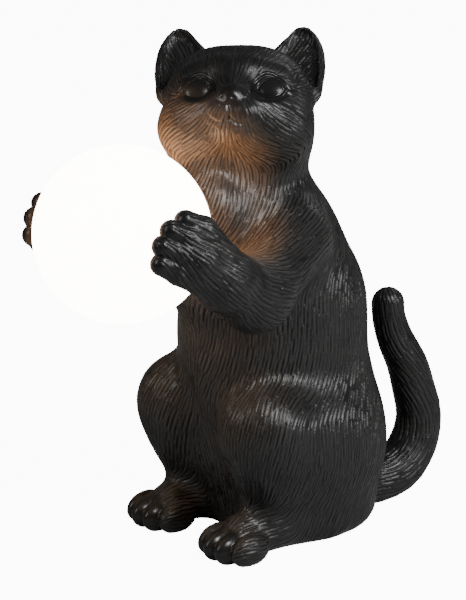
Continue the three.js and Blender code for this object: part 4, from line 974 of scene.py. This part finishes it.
# ---------------------------------------------------------------- studio
AZIMUTH, ELEVATION = math.radians(47), math.radians(17)
CAMERA_DISTANCE = 1.8
LENS = 180.4
AIM_RIGHT, AIM_UP = -22.2, 130.5  # where the camera aims, from the sculptor's origin, in millimetres
LIT_MIDDLE = Vector((0, 0, 0.14))
SOFTBOXES = (  # name, place (right, towards the camera and up from the lit middle), size and watts
    ("key", (0.77, 0.84, 0.84), (0.4, 0.6), 15),
    ("side", (1.2, 0.55, 0.3), (0.3, 0.5), 7),
    ("fill", (-1.1, 0.7, 0.6), (0.4, 0.8), 5),
    ("rim", (0.6, -0.9, 0.9), (0.5, 0.5), 0.8),
)
SKY_STRENGTH = 0.09
FLOOR_HALF = 9
FLOOR_EMISSION = 11.5  # with the studio's light, it comes out white
GLOW_POWER, GLOW_COLOUR = 1.35, (1.0, 0.68, 0.42)


def camera_axes():
    """Right and up in the picture, and back towards the camera."""
    right = Vector((math.cos(AZIMUTH), math.sin(AZIMUTH), 0))
    level = math.cos(ELEVATION)
    back = Vector((math.sin(AZIMUTH) * level, -math.cos(AZIMUTH) * level, math.sin(ELEVATION)))
    return right, back.cross(right), back


def add_camera():
    right, up, back = camera_axes()
    aim = Vector(ORIGIN) + (right * AIM_RIGHT + up * AIM_UP) * MM
    camera = bpy.data.objects.new("camera", bpy.data.cameras.new("camera"))
    camera.data.lens = LENS
    camera.data.clip_start, camera.data.clip_end = 0.05, 60
    camera.location = aim + back * CAMERA_DISTANCE
    camera.rotation_mode = "QUATERNION"
    camera.rotation_quaternion = (-back).to_track_quat("-Z", "Y")
    bpy.context.scene.collection.objects.link(camera)
    bpy.context.scene.camera = camera


def add_softbox(name, place, size, power):
    """A soft light that faces the middle of the lamp."""
    light = bpy.data.lights.new(name, "AREA")
    light.shape = "RECTANGLE"
    light.size, light.size_y = size
    light.energy = power
    softbox = bpy.data.objects.new(name, light)
    softbox.location = place
    softbox.rotation_mode = "QUATERNION"
    softbox.rotation_quaternion = (LIT_MIDDLE - place).to_track_quat("-Z", "Y")
    bpy.context.scene.collection.objects.link(softbox)


def add_floor():
    corners = [(x * FLOOR_HALF, y * FLOOR_HALF, 0) for x, y in ((-1, -1), (1, -1), (1, 1), (-1, 1))]
    floor = mesh_object("floor", corners, [(0, 1, 2, 3)])
    material, tree, shader = new_material("pale_floor")
    colour = blend_colour(tree, noise(tree, 3, 2), (0.5, 0.5, 0.5), (0.52, 0.52, 0.52))
    tree.links.new(colour, shader.inputs["Base Color"])
    shader.inputs["Roughness"].default_value = 0.7
    shader.inputs["Specular IOR Level"].default_value = 0.2
    shader.inputs["Emission Color"].default_value = (1, 1, 1, 1)
    shader.inputs["Emission Strength"].default_value = FLOOR_EMISSION
    floor.data.materials.append(material)
    return floor


def add_studio():
    world = bpy.data.worlds.new("studio")
    world.use_nodes = True
    background = world.node_tree.nodes["Background"]
    background.inputs["Color"].default_value = (1, 1, 1, 1)
    background.inputs["Strength"].default_value = SKY_STRENGTH
    bpy.context.scene.world = world
    floor = add_floor()
    right, _, back = camera_axes()
    for name, (sideways, nearer, higher), size, power in SOFTBOXES:
        place = LIT_MIDDLE + right * sideways + back * nearer + Vector((0, 0, higher))
        add_softbox(name, place, size, power)
    light_only(floor, "floor_light", floor)


def light_only(source, name, *things):
    """Limits what a source shines on. The floor and the globe light only themselves."""
    lit = bpy.data.collections.new(name)
    for thing in things:
        lit.objects.link(thing)
    source.light_linking.receiver_collection = lit


def add_glow(*things):
    """The globe's warm light: a round light inside the globe that shines on the things named."""
    light = bpy.data.lights.new("glow", "POINT")
    light.energy = GLOW_POWER
    light.shadow_soft_size = (GLOBE_RADIUS - 1) * MM
    light.color = GLOW_COLOUR
    glow = bpy.data.objects.new("glow", light)
    glow.location = ORIGIN + np.array(GLOBE) * MM
    bpy.context.scene.collection.objects.link(glow)
    light_only(glow, "lit_by_glow", *things)
    glow.light_linking.blocker_collection = glow.light_linking.receiver_collection


add_camera()
finish_fittings()
cat_figure = build_cat()
globe_glass = build_globe()
add_studio()
light_only(globe_glass, "globe_light", globe_glass)
add_glow(cat_figure, frame["nodes"]["globe_socket"], frame["nodes"]["globe_collar"])
